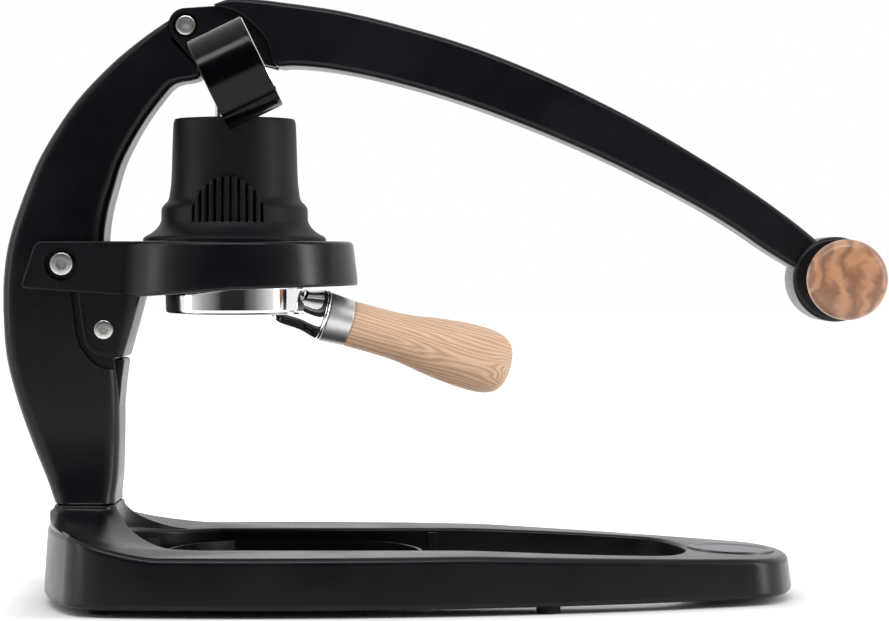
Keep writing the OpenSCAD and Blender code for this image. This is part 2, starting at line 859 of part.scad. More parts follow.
lever_rows = [
    [-9, 282.2, -6.9, 281, beam_half_t - 0.6, 0.9],
    [-2, 284.8, 2.4, 278.1, beam_half_t, 2.4],
    [4, 285.3, 9.4, 272.5, beam_half_t, 3],
    [9.8, 284.8, 14.6, 266.8, beam_half_t, 3],
    [15.5, 284.3, 17.8, 261.1, beam_half_t, 3],
    [21, 283.6, 18.8, 255.8, beam_half_t, 3],
    [27, 282.8, 21.8, 252.8, beam_half_t, 3],
    [34, 281.9, 29.5, 253, beam_half_t, 3],
    [49.5, 279.5, 44, 251.8, beam_half_t, 3],
    [66.6, 275.8, 59.5, 249.2, beam_half_t, 3],
    [83.6, 271.3, 74.5, 245.8, beam_half_t, 3],
    [100.7, 266.4, 90.5, 241.5, beam_half_t, 3],
    [117.8, 260.7, 107, 236.4, beam_half_t, 3],
    [134.8, 254.1, 122.5, 231, beam_half_t, 3],
    [151.9, 246.8, 139, 224.7, beam_half_t, 3],
    [169, 238.8, 155, 218.2, beam_half_t - 0.3, 3],
    [186.1, 230.2, 171, 211.2, beam_half_t - 0.6, 3],
    [203.1, 220.8, 187.5, 203.4, beam_half_t - 0.9, 3],
    [220.2, 210.6, 204, 195.1, beam_half_t - 1.1, 3],
    [237.3, 199.9, 221, 186, beam_half_t - 1.3, 3],
    [254.4, 188.2, 238, 175.8, beam_half_t - 1.4, 3],
    [268.5, 177.7, 253.5, 165.2, beam_half_t - 1.5, 3],
    [278, 169.8, 268, 156.3, beam_half_t - 1.5, 3]];

// side view of one fork prong
module prong_side() {
    translate([-pivot_back, pivot_z]) {
        circle(r = ear_r);
        rotate(slot_dir) {
            translate([slot_out, 0])
                circle(r = lobe_r);
            translate([slot_in - 8, -lobe_r])
                square([slot_out - slot_in + 8, 2 * lobe_r]);
            polygon([[0, -ear_r], [slot_in - 7.5, -lobe_r], [slot_in - 7.5, lobe_r], [0, ear_r]]);
        }
    }
    polygon([[-pivot_back, pivot_z + ear_r], [-7.4, 281.6], [3, 279], [12, 271], [20, 262],
        [22, 254.5], [5.4, 245], [-8, 252], [-pivot_back, pivot_z]]);
}

module slot_cut() {
    translate([-pivot_back, pivot_z])
        rotate(slot_dir) {
            translate([slot_in, 0])
                circle(r = slot_half);
            translate([slot_out, 0])
                circle(r = slot_half);
            translate([slot_in, -slot_half])
                square([slot_out - slot_in, 2 * slot_half]);
        }
}

module round_drum(r, half, edge) {
    rotate([-90, 0, 0])
        rotate_extrude()
            polygon(concat([[0, -half]],
                [for (a = [-90 : 15 : 0]) [r - edge + edge * cos(a), -half + edge + edge * sin(a)]],
                [for (a = [0 : 15 : 90]) [r - edge + edge * cos(a), half - edge + edge * sin(a)]],
                [[0, half]]));
}

module lever_arm() {
    color("#1b1c1f")
        at_brew()
            difference() {
                union() {
                    beam_skin(lever_rows);
                    for (s = [-1, 1])
                        translate([0, s * (prong_out - prong_t / 2), 0])
                            upright(prong_t)
                                prong_side();
                    translate([grip_x, 0, grip_z])
                        round_drum(boss_r, boss_half, boss_edge);
                }
                upright(4 * prong_out)
                    slot_cut();
                rod_y(-pivot_back, pivot_z, bush_r, -30, 30);
                for (s = [-1, 1])
                    translate([-pivot_back, 0, pivot_z])
                        rotate([s * 90, 0, 0])
                            translate([0, 0, prong_out - pivot_cbore_t])
                                cylinder(r = pivot_cbore_r, h = 10);
                rod_y(grip_x, grip_z, rod_r, -30, 30);
                rod_y(grip_x, grip_z, rod_head_r + clear, boss_half - rod_head_h - 1, 30);
            }
}

module pivot_bushes() {
    color("#b08d4a")
        at_brew()
            for (s = [-1, 1])
                translate([-pivot_back, 0, pivot_z])
                    rotate([s * 90, 0, 0])
                        difference() {
                            translate([0, 0, prong_out - prong_t])
                                cylinder(r = bush_r, h = prong_t - pivot_cbore_t - 0.1);
                            cylinder(r = pivot_bolt_r + fit, h = 20);
                        }
}

// bolt from the far face of the boss into the grip
module grip_rod() {
    color("#9a9da1")
        at_brew()
            difference() {
                union() {
                    rod_y(grip_x, grip_z, rod_r, 12 - grip_out, boss_half - rod_head_h);
                    rod_y(grip_x, grip_z, rod_head_r, boss_half - rod_head_h - 1, boss_half - 1);
                }
                translate([grip_x, boss_half - 3.4, grip_z])
                    rotate([-90, 0, 0])
                        cylinder(r = rod_r, h = 10, $fn = 6);
            }
}

// flared wooden grip on the near side
module grip() {
    g = grip_out;
    color("#a9703f")
        at_brew()
            difference() {
                translate([grip_x, 0, grip_z])
                    rotate([90, 0, 0])
                        rotate_extrude()
                            polygon([[0, boss_half], [13.4, boss_half], [13.9, boss_half + 0.7],
                                [14.3, 26], [15.2, 33], [16.5, 40.5], [17.7, 47],
                                [grip_r - 0.15, 52], [grip_r, g - 6.8], [grip_r - 0.5, g - 4.2],
                                [grip_r - 1.9, g - 2], [grip_r - 4.4, g - 0.7],
                                [grip_r - 8.5, g - 0.15], [0, g]]);
                rod_y(grip_x, grip_z, rod_r, 11.5 - grip_out, 0);
            }
}

// plunger

module piston() {
    color("#aeb1b5")
        at_brew()
            difference() {
                translate([0, 0, piston_z0])
                    cylinder(r = piston_r, h = piston_h);
                for (z = ring_spots)
                    tube(piston_r + 2, piston_r - 2 * ring_r + 0.04, piston_z0 + z - ring_r,
                        piston_z0 + z + ring_r);
                translate([0, 0, piston_z0 - 1])
                    cylinder(r = duct_r, h = 40);
                translate([0, 0, piston_z0 + 8])
                    cylinder(r = stem_r, h = 40);
            }
}

module piston_rings() {
    color("#7a2f20")
        at_brew()
            for (z = ring_spots)
                translate([0, 0, piston_z0 + z])
                    rotate_extrude()
                        translate([piston_r - ring_r + 0.04, 0])
                            circle(r = ring_r, $fn = 24);
}

module plunger_stem() {
    color("#b4b7bb")
        at_brew()
            tube(stem_r, duct_r, piston_z0 + 8, stem_top);
}

module stem_head() {
    color("#a2a5a9")
        at_brew()
            difference() {
                union() {
                    translate([0, 0, head_collar_z0])
                        cylinder(r = head_collar_r, h = head_collar_z1 - head_collar_z0);
                    rod_y(0, pin_z, ear_r, -tongue_t, tongue_t);
                    translate([-ear_r, -tongue_t, head_collar_z1 - 2])
                        cube([2 * ear_r, 2 * tongue_t, pin_z - head_collar_z1 + 2]);
                }
                translate([0, 0, head_collar_z0 - 1])
                    cylinder(r = stem_r, h = stem_top - head_collar_z0 + 1);
                cylinder(r = duct_r, h = pin_z);
                rod_y(0, pin_z, pin_r, -20, 20);
            }
}

module plunger_pin() {
    color("#c2c5c8")
        at_brew()
            difference() {
                rod_y(0, pin_z, pin_r, -fitting_y0 - 5, pin_far);
                rod_y(0, pin_z, duct_r, -fitting_y0 - 6, 3);
                translate([0, 0, pin_z - pin_r - 1])
                    cylinder(r = duct_r, h = pin_r + 1);
                difference() {
                    rod_y(0, pin_z, pin_r + 2, pin_far - 2.6, pin_far - 1.4);
                    rod_y(0, pin_z, pin_r - 1, pin_far - 3, pin_far);
                }
            }
}

module slot_washers() {
    color("#8f9296")
        at_brew()
            for (y = [-washer_y - washer_t, washer_y])
                difference() {
                    rod_y(0, pin_z, washer_r, y, y + washer_t);
                    rod_y(0, pin_z, pin_r, y - 1, y + washer_t + 1);
                }
}

module pin_clip() {
    color("#55585c")
        at_brew()
            difference() {
                rod_y(0, pin_z, pin_r + 2.4, pin_far - 2.6, pin_far - 1.4);
                rod_y(0, pin_z, pin_r - 1, pin_far - 4, pin_far);
                translate([-1.6, pin_far - 4, pin_z])
                    cube([3.2, 8, 12]);
            }
}

module gauge_fitting() {
    color("#b8963f")
        at_brew()
            difference() {
                union() {
                    translate([0, -fitting_y0, pin_z])
                        rotate([90, 0, 0])
                            cylinder(r = nut_af / 2 / cos(30), h = 9, $fn = 6);
                    rod_y(0, pin_z, stub_r, -fitting_y1 - 5, -fitting_y0 - 8);
                }
                rod_y(0, pin_z, pin_r, -fitting_y0 - 5, -fitting_y0 + 2);
                rod_y(0, pin_z, duct_r, -fitting_y1 - 10, 0);
            }
}

// gauge frame: +Z out of the dial, -X up, +Y to the viewer's right
module gauge_frame() {
    translate([gauge_ahead, -gauge_out, gauge_z])
        rotate([0, 90 - gauge_tilt, gauge_turn])
            children();
}

module gauge_case() {
    h = gauge_len / 2;
    color("#2b2c2f")
        at_brew()
            difference() {
                gauge_frame()
                    difference() {
                        rotate_extrude()
                            polygon([[0, -h], [gauge_r - 0.8, -h], [gauge_r, -h + 0.8],
                                [gauge_r, h - 3], [0, h - 3]]);
                        translate([0, 0, -h + case_back])
                            cylinder(r = gauge_r - case_wall, h = gauge_len);
                    }
                rod_y(0, pin_z, stub_r, -gauge_out, 0);
            }
}

module gauge_movement() {
    h = gauge_len / 2;
    color("#b8963f")
        at_brew()
            difference() {
                gauge_frame() {
                    translate([0, 0, -h + case_back])
                        cylinder(r = 9, h = gauge_len - 7.5 - case_back);
                    cylinder(r = 1.1, h = h - 3.4);
                }
                rod_y(0, pin_z, stub_r, -gauge_out, 0);
            }
}

module gauge_dial() {
    h = gauge_len / 2;
    color("#f1efe9")
        at_brew()
            gauge_frame()
                tube(gauge_r - case_wall, 1.4, h - 7.3, h - 6.3);
}

module gauge_needle() {
    h = gauge_len / 2;
    color("#15161a")
        at_brew()
            gauge_frame()
                rotate([0, 0, -45])
                    difference() {
                        union() {
                            translate([0, 0, h - 5.6])
                                cylinder(r = 2.6, h = 1.6);
                            translate([0, 0, h - 5.3])
                                linear_extrude(height = 0.9)
                                    polygon([[-5, -1.3], [0, -1.3], [15.5, -0.35], [15.5, 0.35],
                                        [0, 1.3], [-5, 1.3]]);
                        }
                        translate([0, 0, h - 7])
                            cylinder(r = 1.1 + fit, h = 6);
                    }
}

module gauge_glass() {
    h = gauge_len / 2;
    color([0.85, 0.9, 0.92, 0.4])
        at_brew()
            gauge_frame()
                translate([0, 0, h - 2.5])
                    cylinder(r = gauge_r - case_wall, h = 1.5);
}

module gauge_bezel() {
    h = gauge_len / 2;
    color("#3a3b3e")
        at_brew()
            gauge_frame()
                rotate_extrude()
                    polygon([[gauge_r - case_wall, h - 3], [gauge_r, h - 3], [gauge_r, h - 0.6],
                        [gauge_r - 0.6, h], [gauge_r - 2.6, h], [gauge_r - 2.8, h - 1],
                        [gauge_r - case_wall, h - 1]]);
}

// filter holder

module handle_frame() {
    translate([0, 0, handle_z])
        rotate([0, handle_droop, handle_yaw])
            rotate([0, 90, 0])
                children();
}

module holder_body() {
    color("#cfd2d5")
        at_brew()
            difference() {
                union() {
                    rotate_extrude()
                        polygon([[cavity_r, holder_z0], [holder_r - 1.4, holder_z0],
                            [holder_r - 0.4, holder_z0 + 0.4], [holder_r, holder_z0 + 1.4],
                            [holder_r, head_z0 - 0.4], [collar_r, head_z0 + 1.2],
                            [collar_r, rim_z], [cavity_r, rim_z]]);
                    for (a = [0, 180])
                        rotate([0, 0, handle_yaw + 90 + a])
                            difference() {
                                lug_sector(lug_r, undercut_z0 + 0.3, undercut_z1 - 0.9, lug_half);
                                translate([0, 0, undercut_z0 - 5])
                                    cylinder(r = collar_r - 1, h = 20);
                            }
                }
                handle_frame()
                    cylinder(r = 8, h = neck_t0 + 10);
            }
}

module holder_neck() {
    color("#cfd2d5")
        at_brew()
            difference() {
                handle_frame()
                    rotate_extrude()
                        polygon([[0, neck_t0], [8.6, neck_t0], [9.6, 27], [9.9, 32.5], [10.3, 35.5],
                            [11.2, 38.5], [12, 41], [12.2, neck_t1], [0, neck_t1]]);
                translate([0, 0, holder_z0 - 0.01])
                    cylinder(r = holder_r, h = 40);
                handle_frame()
                    translate([0, 0, 36])
                        cylinder(r = stud_r, h = 20);
            }
}

module neck_ring() {
    color("#c6c9cd")
        at_brew()
            handle_frame()
                rotate_extrude()
                    polygon([[stud_r, neck_t1], [11.9, neck_t1], [12.4, neck_t1 + 0.6],
                        [12.4, groove_t1 - 0.6], [11.9, groove_t1], [stud_r, groove_t1]]);
}

module handle_ferrule() {
    color("#c6c9cd")
        at_brew()
            handle_frame()
                rotate_extrude()
                    polygon([[stud_r, groove_t1], [11.8, groove_t1], [11.9, groove_t1 + 0.5],
                        [11.4, ferrule_t1 - 0.4], [11.1, ferrule_t1], [stud_r, ferrule_t1]]);
}

module wood_handle() {
    color("#d2b48c")
        at_brew()
            handle_frame()
                difference() {
                    rotate_extrude()
                        polygon([[0, ferrule_t1], [11.1, ferrule_t1], [11.1, 64], [11.1, 71],
                            [11.3, 79], [11.9, 86], [13, 93], [14.1, 100], [15, 107],
                            [handle_r - 0.4, 113], [handle_r, 120], [handle_r - 0.1, 126],
                            [handle_r - 0.9, 131], [handle_r - 2.6, 135], [handle_r - 5.4, 137.7],
                            [handle_r - 9.5, 139.2], [0, wood_t1]]);
                    translate([0, 0, ferrule_t1 - 1])
                        cylinder(r = stud_r, h = 45);
                }
}

module handle_stud() {
    color("#97999c")
        at_brew()
            handle_frame()
                translate([0, 0, 36.2])
                    cylinder(r = stud_r, h = ferrule_t1 + 42 - 36);
}

module filter_basket() {
    color("#d8dadd")
        at_brew()
            difference() {
                union() {
                    tube(basket_r + 5.6, basket_r - basket_wall, rim_z, lip_z);
                    translate([0, 0, basket_z0])
                        cylinder(r = basket_r, h = lip_z - basket_z0);
                }
                translate([0, 0, basket_z0 + basket_wall])
                    cylinder(r = basket_r - basket_wall, h = 40);
                for (k = [1 : 4])
                    for (i = [0 : 6 * k - 1])
                        rotate([0, 0, i * 60 / k])
                            translate([k * 6, 0, basket_z0 - 1])
                                cylinder(r = 0.8, h = 4, $fn = 16);
            }
}

module basket_spring() {
    color("#a6a9ad")
        at_brew()
            translate([0, 0, 149])
                rotate_extrude(angle = 330)
                    translate([(basket_r + cavity_r) / 2, 0])
                        circle(r = (cavity_r - basket_r) / 2 - 0.03, $fn = 16);
}

base_casting();
base_badge();
rubber_feet();
drip_tray();
post();
foot_bolts();
head_frame();
arm_bolts();
tab_bolts();
brew_cylinder();
group_ring();
shower_screen();
group_gasket();
silicone_sleeve();
pivot_bolt();
pivot_nut();
lever_arm();
pivot_bushes();
grip_rod();
grip();
piston();
piston_rings();
plunger_stem();
stem_head();
plunger_pin();
slot_washers();
pin_clip();
gauge_fitting();
gauge_case();
gauge_movement();
gauge_dial();
gauge_needle();
gauge_glass();
gauge_bezel();
holder_body();
holder_neck();
neck_ring();
handle_ferrule();
wood_handle();
handle_stud();
filter_basket();
basket_spring();
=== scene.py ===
import math

import bmesh
import bpy
from mathutils import Matrix, Vector


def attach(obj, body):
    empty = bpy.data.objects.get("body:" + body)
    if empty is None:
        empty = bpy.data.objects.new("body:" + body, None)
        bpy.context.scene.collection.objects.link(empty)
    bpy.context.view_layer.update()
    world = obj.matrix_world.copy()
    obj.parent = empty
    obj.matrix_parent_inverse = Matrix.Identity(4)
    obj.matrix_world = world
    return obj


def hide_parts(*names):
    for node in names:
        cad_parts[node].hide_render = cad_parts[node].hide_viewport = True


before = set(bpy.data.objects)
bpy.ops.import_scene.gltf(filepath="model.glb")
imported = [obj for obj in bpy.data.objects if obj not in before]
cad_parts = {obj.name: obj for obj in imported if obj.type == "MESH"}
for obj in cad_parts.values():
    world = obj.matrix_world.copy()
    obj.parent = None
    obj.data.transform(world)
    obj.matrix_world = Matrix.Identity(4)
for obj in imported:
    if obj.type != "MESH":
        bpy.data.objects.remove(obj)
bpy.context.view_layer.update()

MM = 0.001
BREW = -98.55  # brew axis in the frame, mm; pieces are drawn about it


# ---------------------------------------------------------------- materials

BUMP_DEPTH = 0.0004  # metres
NOISE_LOW, NOISE_HIGH = 0.3, 0.7  # the span that noise mostly fills


def feed(nt, n, inputs):
    """Gives inputs of a node their values, or the sockets that feed them."""
    for key, value in inputs.items():
        if isinstance(value, bpy.types.NodeSocket):
            nt.links.new(value, n.inputs[key])
        else:
            n.inputs[key].default_value = value


def new_node(nt, kind, inputs=None, **settings):
    n = nt.nodes.new("ShaderNode" + kind)
    for key, value in settings.items():
        setattr(n, key, value)
    feed(nt, n, inputs or {})
    return n


def surface(name):
    """New material, its nodes and its main shader."""
    m = bpy.data.materials.new(name)
    m.use_nodes = True
    return m, m.node_tree, m.node_tree.nodes["Principled BSDF"]


def own_place(nt):
    return new_node(nt, "TexCoord").outputs["Object"]


def moved(nt, vector, **settings):
    """Vector through a Mapping node, its inputs given by name."""
    inputs = {key.title(): value for key, value in settings.items()}
    return new_node(nt, "Mapping", {"Vector": vector, **inputs}).outputs["Vector"]


def noise(nt, vector, scale, detail=2.0, out="Fac"):
    inputs = {"Vector": vector, "Scale": scale, "Detail": detail}
    return new_node(nt, "TexNoise", inputs).outputs[out]


def remap(nt, value, to, at=(0.0, 1.0), ease="LINEAR"):
    """Takes value from the span at to the span to."""
    inputs = {"Value": value, "From Min": at[0], "From Max": at[1],
              "To Min": to[0], "To Max": to[1]}
    return new_node(nt, "MapRange", inputs, interpolation_type=ease).outputs["Result"]


def bumps(nt, height, strength):
    inputs = {"Height": height, "Strength": strength, "Distance": BUMP_DEPTH}
    return new_node(nt, "Bump", inputs).outputs["Normal"]


def scaled(nt, vector, factor):
    inputs = {0: vector, "Scale": factor}
    return new_node(nt, "VectorMath", inputs, operation="SCALE").outputs["Vector"]


def shader(name, color, rough, metal=0.0, spec=0.5, vary=0.12, bump=0.02, bump_scale=900.0,
           rough_vary=0.06, stretch=(1, 1, 1)):
    """Plain material, a little mottled in tone and gloss, with fine bumps."""
    m, nt, p = surface(name)
    place = moved(nt, own_place(nt), scale=stretch)
    mottle = noise(nt, place, 30, 4)
    usual = (NOISE_LOW, NOISE_HIGH)
    feed(nt, p, {
        "Metallic": metal,
        "Specular IOR Level": spec,
        "Coat Roughness": 0.12,
        "Base Color": scaled(nt, color, remap(nt, mottle, (1 - vary, 1 + vary), usual)),
        "Roughness": remap(nt, mottle, (max(0.02, rough - rough_vary), rough + rough_vary), usual),
        "Normal": bumps(nt, noise(nt, place, bump_scale), bump),
    })
    return m


def wood(name, light, dark, centre, turn, grain=1.0, rough=0.5, seed=0.0, rings=95.0,
         twist=3.5, blend=0.42, span=(0.18, 0.85), coat=0.12, gloss=0.35, about="Y",
         heart=(0.021, 0.0, 0.013)):
    """Wood with long grain along the local Z of a frame at centre, turned by turn. The growth
    rings lie about an axis along about, through heart."""
    m, nt, p = surface(name)
    frame_of = {"Vector": own_place(nt), "Location": centre, "Rotation": turn}
    local = new_node(nt, "Mapping", frame_of, vector_type="TEXTURE").outputs["Vector"]
    long = moved(nt, local, scale=(1, 1, 0.09), location=(seed, seed * 0.7, seed * 0.4))
    warp = noise(nt, long, 60, 3, "Color")
    bent = new_node(nt, "VectorMath", {0: warp, 1: (0.012, 0.012, 0.012), 2: long},
                operation="MULTIPLY_ADD").outputs["Vector"]
    off = new_node(nt, "VectorMath", {0: bent, 1: heart}, operation="ADD").outputs["Vector"]
    wave = {"Vector": off, "Scale": rings, "Distortion": twist, "Detail": 3, "Detail Scale": 1.6}
    ring = new_node(nt, "TexWave", wave, wave_type="RINGS", rings_direction=about).outputs["Fac"]
    fine = noise(nt, moved(nt, local, scale=(1, 1, 0.03)), 1100, 3)
    mixed = new_node(nt, "Mix", {"Factor": blend, "A": ring, "B": fine},
                     data_type="FLOAT").outputs["Result"]
    tones = new_node(nt, "ValToRGB", {"Fac": mixed})
    for stop, at, tone in zip(tones.color_ramp.elements, span, (dark, light)):
        stop.position = at
        stop.color = (*tone, 1)
    patches = remap(nt, noise(nt, long, 28), (0.86, 1.1), (NOISE_LOW, NOISE_HIGH))
    feed(nt, p, {
        "Coat Weight": coat,
        "Coat Roughness": gloss,
        "Base Color": scaled(nt, tones.outputs["Color"], patches),
        "Roughness": remap(nt, fine, (rough + 0.08, rough - 0.06)),
        "Normal": bumps(nt, mixed, 0.12 * grain),
    })
    return m


def glass():
    m, nt, p = surface("gauge_glass")
    smear = noise(nt, own_place(nt), 40)
    feed(nt, p, {"Transmission Weight": 1.0, "IOR": 1.47,
                 "Roughness": remap(nt, smear, (0.01, 0.04))})
    return m


DROOP, YAW = math.radians(15.55), math.radians(11)  # of the holder's handle
HOLDER_Z = 145.7  # where the handle's axis meets the brew axis
GRIP = (286.1, 151.6)  # x and z of the grip's axis
M = {
    "black": shader("black_coat", (0.0038, 0.0037, 0.0058), 0.29, spec=0.25, bump=0.05,
                    bump_scale=1400),
    "lever": shader("lever_coat", (0.0044, 0.0044, 0.0070), 0.3, spec=0.27, bump=0.04,
                    bump_scale=1400),
    "gloss": shader("gauge_coat", (0.0012, 0.0012, 0.0020), 0.13, spec=0.2, bump=0.01),
    "tray": shader("tray_coat", (0.0060, 0.0060, 0.0080), 0.26, spec=0.4, bump=0.03),
    "badge": shader("badge_metal", (0.20, 0.205, 0.22), 0.42, metal=1.0, vary=0.06, bump=0.02),
    "rubber": shader("foot_rubber", (0.012, 0.012, 0.012), 0.75, spec=0.3, bump=0.2),
    "seal": shader("seal_rubber", (0.010, 0.010, 0.011), 0.42, spec=0.45, bump=0.1),
    "red": shader("ring_silicone", (0.28, 0.05, 0.03), 0.45, bump=0.05),
    "silicone": shader("sleeve_silicone", (0.0058, 0.0060, 0.0080), 0.48, spec=0.15, bump=0.08,
                       bump_scale=1800),
    "bolt": shader("bolt_steel", (0.60, 0.59, 0.575), 0.3, metal=1.0, vary=0.2, bump=0.1),
    # Darker steel for the walls and floor of the hexagon sockets: painted shade in the recess.
    "socket": shader("socket_painted_shade", (0.42, 0.41, 0.40), 0.45, metal=0.6, vary=0.2),
    "steel": shader("turned_steel", (0.62, 0.625, 0.635), 0.22, metal=1.0, vary=0.05, bump=0.04,
                    stretch=(1, 1, 25)),
    "chrome": shader("chrome", (0.86, 0.865, 0.875), 0.06, metal=1.0, vary=0.03, bump=0.004,
                     rough_vary=0.015),
    "brushed": shader("ferrule_steel", (0.66, 0.65, 0.645), 0.38, metal=1.0, vary=0.04, bump=0.02),
    "brass": shader("brass", (0.62, 0.44, 0.17), 0.25, metal=1.0, vary=0.08, bump=0.03),
    "bronze": shader("bronze", (0.45, 0.30, 0.12), 0.35, metal=1.0, vary=0.1, bump=0.04),
    "dial": shader("dial_white", (0.78, 0.77, 0.73), 0.5, vary=0.02, bump=0.01),
    "ink": shader("dial_ink", (0.02, 0.02, 0.022), 0.5, vary=0.05),
    "zone": shader("dial_zone", (0.42, 0.05, 0.03), 0.5, vary=0.05),
    "needle": shader("needle_black", (0.015, 0.015, 0.016), 0.4, vary=0.05),
    "grip": wood("grip_wood", (0.56, 0.285, 0.150), (0.24, 0.105, 0.055),
                 ((BREW + GRIP[0]) * MM, 0, GRIP[1] * MM), (math.radians(90), 0, 0), seed=0.31,
                 rough=0.42, rings=34, twist=9.0, blend=0.3, span=(0.02, 0.8), coat=0.35,
                 gloss=0.2),
    "ash": wood("ash_wood", (0.93, 0.63, 0.415), (0.60, 0.35, 0.225),
                (BREW * MM, 0, HOLDER_Z * MM), (0, DROOP + math.pi / 2, YAW), seed=0.0, grain=1.4,
                rings=215, twist=1.6, blend=0.45, span=(0.1, 0.85), about="Z",
                heart=(-0.009, 0.0035, 0.0)),
    "glass": glass(),
}


CAD_LOOK = {
    "base_badge": "badge", "rubber_feet": "rubber", "drip_tray": "tray", "foot_bolts": "bolt",
    "arm_bolts": "bolt", "tab_bolts": "bolt", "brew_cylinder": "steel", "group_ring": "steel",
    "shower_screen": "steel", "group_gasket": "seal", "pivot_bolt": "bolt", "pivot_nut": "bolt",
    "pivot_bushes": "bronze", "grip_rod": "steel", "piston": "steel", "piston_rings": "red",
    "plunger_stem": "steel", "stem_head": "steel", "plunger_pin": "steel",
    "slot_washers": "bolt", "pin_clip": "bolt", "gauge_fitting": "brass",
    "gauge_movement": "brass", "gauge_needle": "needle", "gauge_glass": "glass",
    "handle_stud": "steel", "filter_basket": "steel", "basket_spring": "steel",
    "base_casting": "black", "post": "black", "head_frame": "black", "lever_arm": "lever",
    "silicone_sleeve": "silicone", "grip": "grip",
    "gauge_case": "gloss", "gauge_dial": "dial", "gauge_bezel": "gloss",
    "holder_body": "chrome", "holder_neck": "chrome", "neck_ring": "chrome",
    "handle_ferrule": "brushed", "wood_handle": "ash",
}
for name, key in CAD_LOOK.items():
    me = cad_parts[name].data
    me.materials.clear()
    me.materials.append(M[key])


# ---------------------------------------------------------------- shape tools

def add(name, verts, faces, mat, angle=35):
    me = bpy.data.meshes.new(name)
    me.from_pydata([((x + BREW) * MM, y * MM, z * MM) for x, y, z in verts], [], faces)
    me.validate()
    me.materials.append(M[mat])
    o = bpy.data.objects.new(name, me)
    bpy.context.scene.collection.objects.link(o)
    smooth(o, angle)
    return o


def smooth(o, angle=35):
    o.data.shade_smooth()
    o.data.set_sharp_from_angle(angle=math.radians(angle))


def fix_normals(o):
    bm = bmesh.new()
    bm.from_mesh(o.data)
    bmesh.ops.recalc_face_normals(bm, faces=bm.faces)
    bm.to_mesh(o.data)
    bm.free()


def apply_mods(o):
    dg = bpy.context.evaluated_depsgraph_get()
    me = bpy.data.meshes.new_from_object(o.evaluated_get(dg))
    old = o.data
    o.modifiers.clear()
    o.data = me
    bpy.data.meshes.remove(old)


def boolean(o, cutter, op="DIFFERENCE"):
    fix_normals(cutter)
    m = o.modifiers.new("b", "BOOLEAN")
    m.operation = op
    m.object = cutter
    m.solver = "MANIFOLD"
    apply_mods(o)
    bpy.data.objects.remove(cutter)


def bevel(o, width, segments=3, angle=32, shade=35):
    m = o.modifiers.new("v", "BEVEL")
    m.width = width * MM
    m.segments = segments
    m.limit_method = "ANGLE"
    m.angle_limit = math.radians(angle)
    m.harden_normals = False
    apply_mods(o)
    smooth(o, shade)


def dress(o, body, node, *more):
    """Evens out the shading, and puts the piece on its body in place of its CAD nodes."""
    if not o.modifiers:
        m = o.modifiers.new("n", "WEIGHTED_NORMAL")
        m.keep_sharp = True
        m.weight = 90
        apply_mods(o)
    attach(o, body)
    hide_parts(node, *more)
    return o


def skin(name, rings, mat, angle=35, closed=False):
    """Surface through rings of points, capped at both ends or closed back to the first ring."""
    n = len(rings[0])
    verts = [p for r in rings for p in r]
    k = len(rings)
    faces = []
    for j in range(k if closed else k - 1):
        a, b = j * n, ((j + 1) % k) * n
        for i in range(n):
            e = (i + 1) % n
            faces.append((a + i, a + e, b + e, b + i))
    if not closed:
        faces.append(tuple(range(n))[::-1])
        faces.append(tuple((k - 1) * n + i for i in range(n)))
    o = add(name, verts, faces, mat, angle)
    fix_normals(o)
    return o


def prism_faces(n):
    """Faces of two outlines of n points, the second carried over from the first."""
    walls = [(i, i + n, (i + 1) % n + n, (i + 1) % n) for i in range(n)]
    return [tuple(range(n)), tuple(range(n, 2 * n))[::-1]] + walls


def prism(name, pts, y0, y1, mat="black"):
    """Flat XZ outline carried from y0 to y1."""
    verts = [(x, y0, z) for x, z in pts] + [(x, y1, z) for x, z in pts]
    o = add(name, verts, prism_faces(len(pts)), mat)
    fix_normals(o)
    return o


def side(s, a, b):
    """The span from a to b on the side s (1 or -1) of the middle plane, lower end first."""
    return sorted((s * a, s * b))


def arc(c, r, a0, a1, n, first=1):
    """Points first to n of the n steps from angle a0 to a1, in degrees, about c."""
    return [(c[0] + r * math.cos(math.radians(a0 + (a1 - a0) * i / n)),
             c[1] + r * math.sin(math.radians(a0 + (a1 - a0) * i / n)))
            for i in range(first, n + 1)]


def lathe(name, prof, mat, to=Matrix.Identity(4), seg=128, angle=35):
    """Revolves (r, z) pairs about Z, then moves by to. A profile off the axis closes to a ring."""
    verts, faces, rows = [], [], []
    for r, z in prof:
        if r < 1e-6:
            verts.append(to @ Vector((0, 0, z)))
            rows.append([len(verts) - 1])
        else:
            row = []
            for i in range(seg):
                a = 2 * math.pi * i / seg
                verts.append(to @ Vector((r * math.cos(a), r * math.sin(a), z)))
                row.append(len(verts) - 1)
            rows.append(row)
    ring = prof[0][0] > 1e-6 and prof[-1][0] > 1e-6
    pairs = list(zip(rows, rows[1:])) + ([(rows[-1], rows[0])] if ring else [])
    for a, b in pairs:
        for i in range(seg):
            e = (i + 1) % seg
            if len(a) == 1 and len(b) == 1:
                continue
            if len(a) == 1:
                faces.append((a[0], b[i], b[e]))
            elif len(b) == 1:
                faces.append((a[i], a[e], b[0]))
            else:
                faces.append((a[i], a[e], b[e], b[i]))
    o = add(name, [tuple(v) for v in verts], faces, mat, angle)
    fix_normals(o)
    return o


def along_y(x, y, z):
    """Local Z to +Y at a place."""
    return Matrix.Translation((x, y, z)) @ Matrix.Rotation(math.radians(-90), 4, "X")


def cyl(name, x, z, r, y0, y1, seg=64, mat="black"):
    return lathe(name, [(0, 0), (r, 0), (r, y1 - y0), (0, y1 - y0)], mat, along_y(x, y0, z), seg)


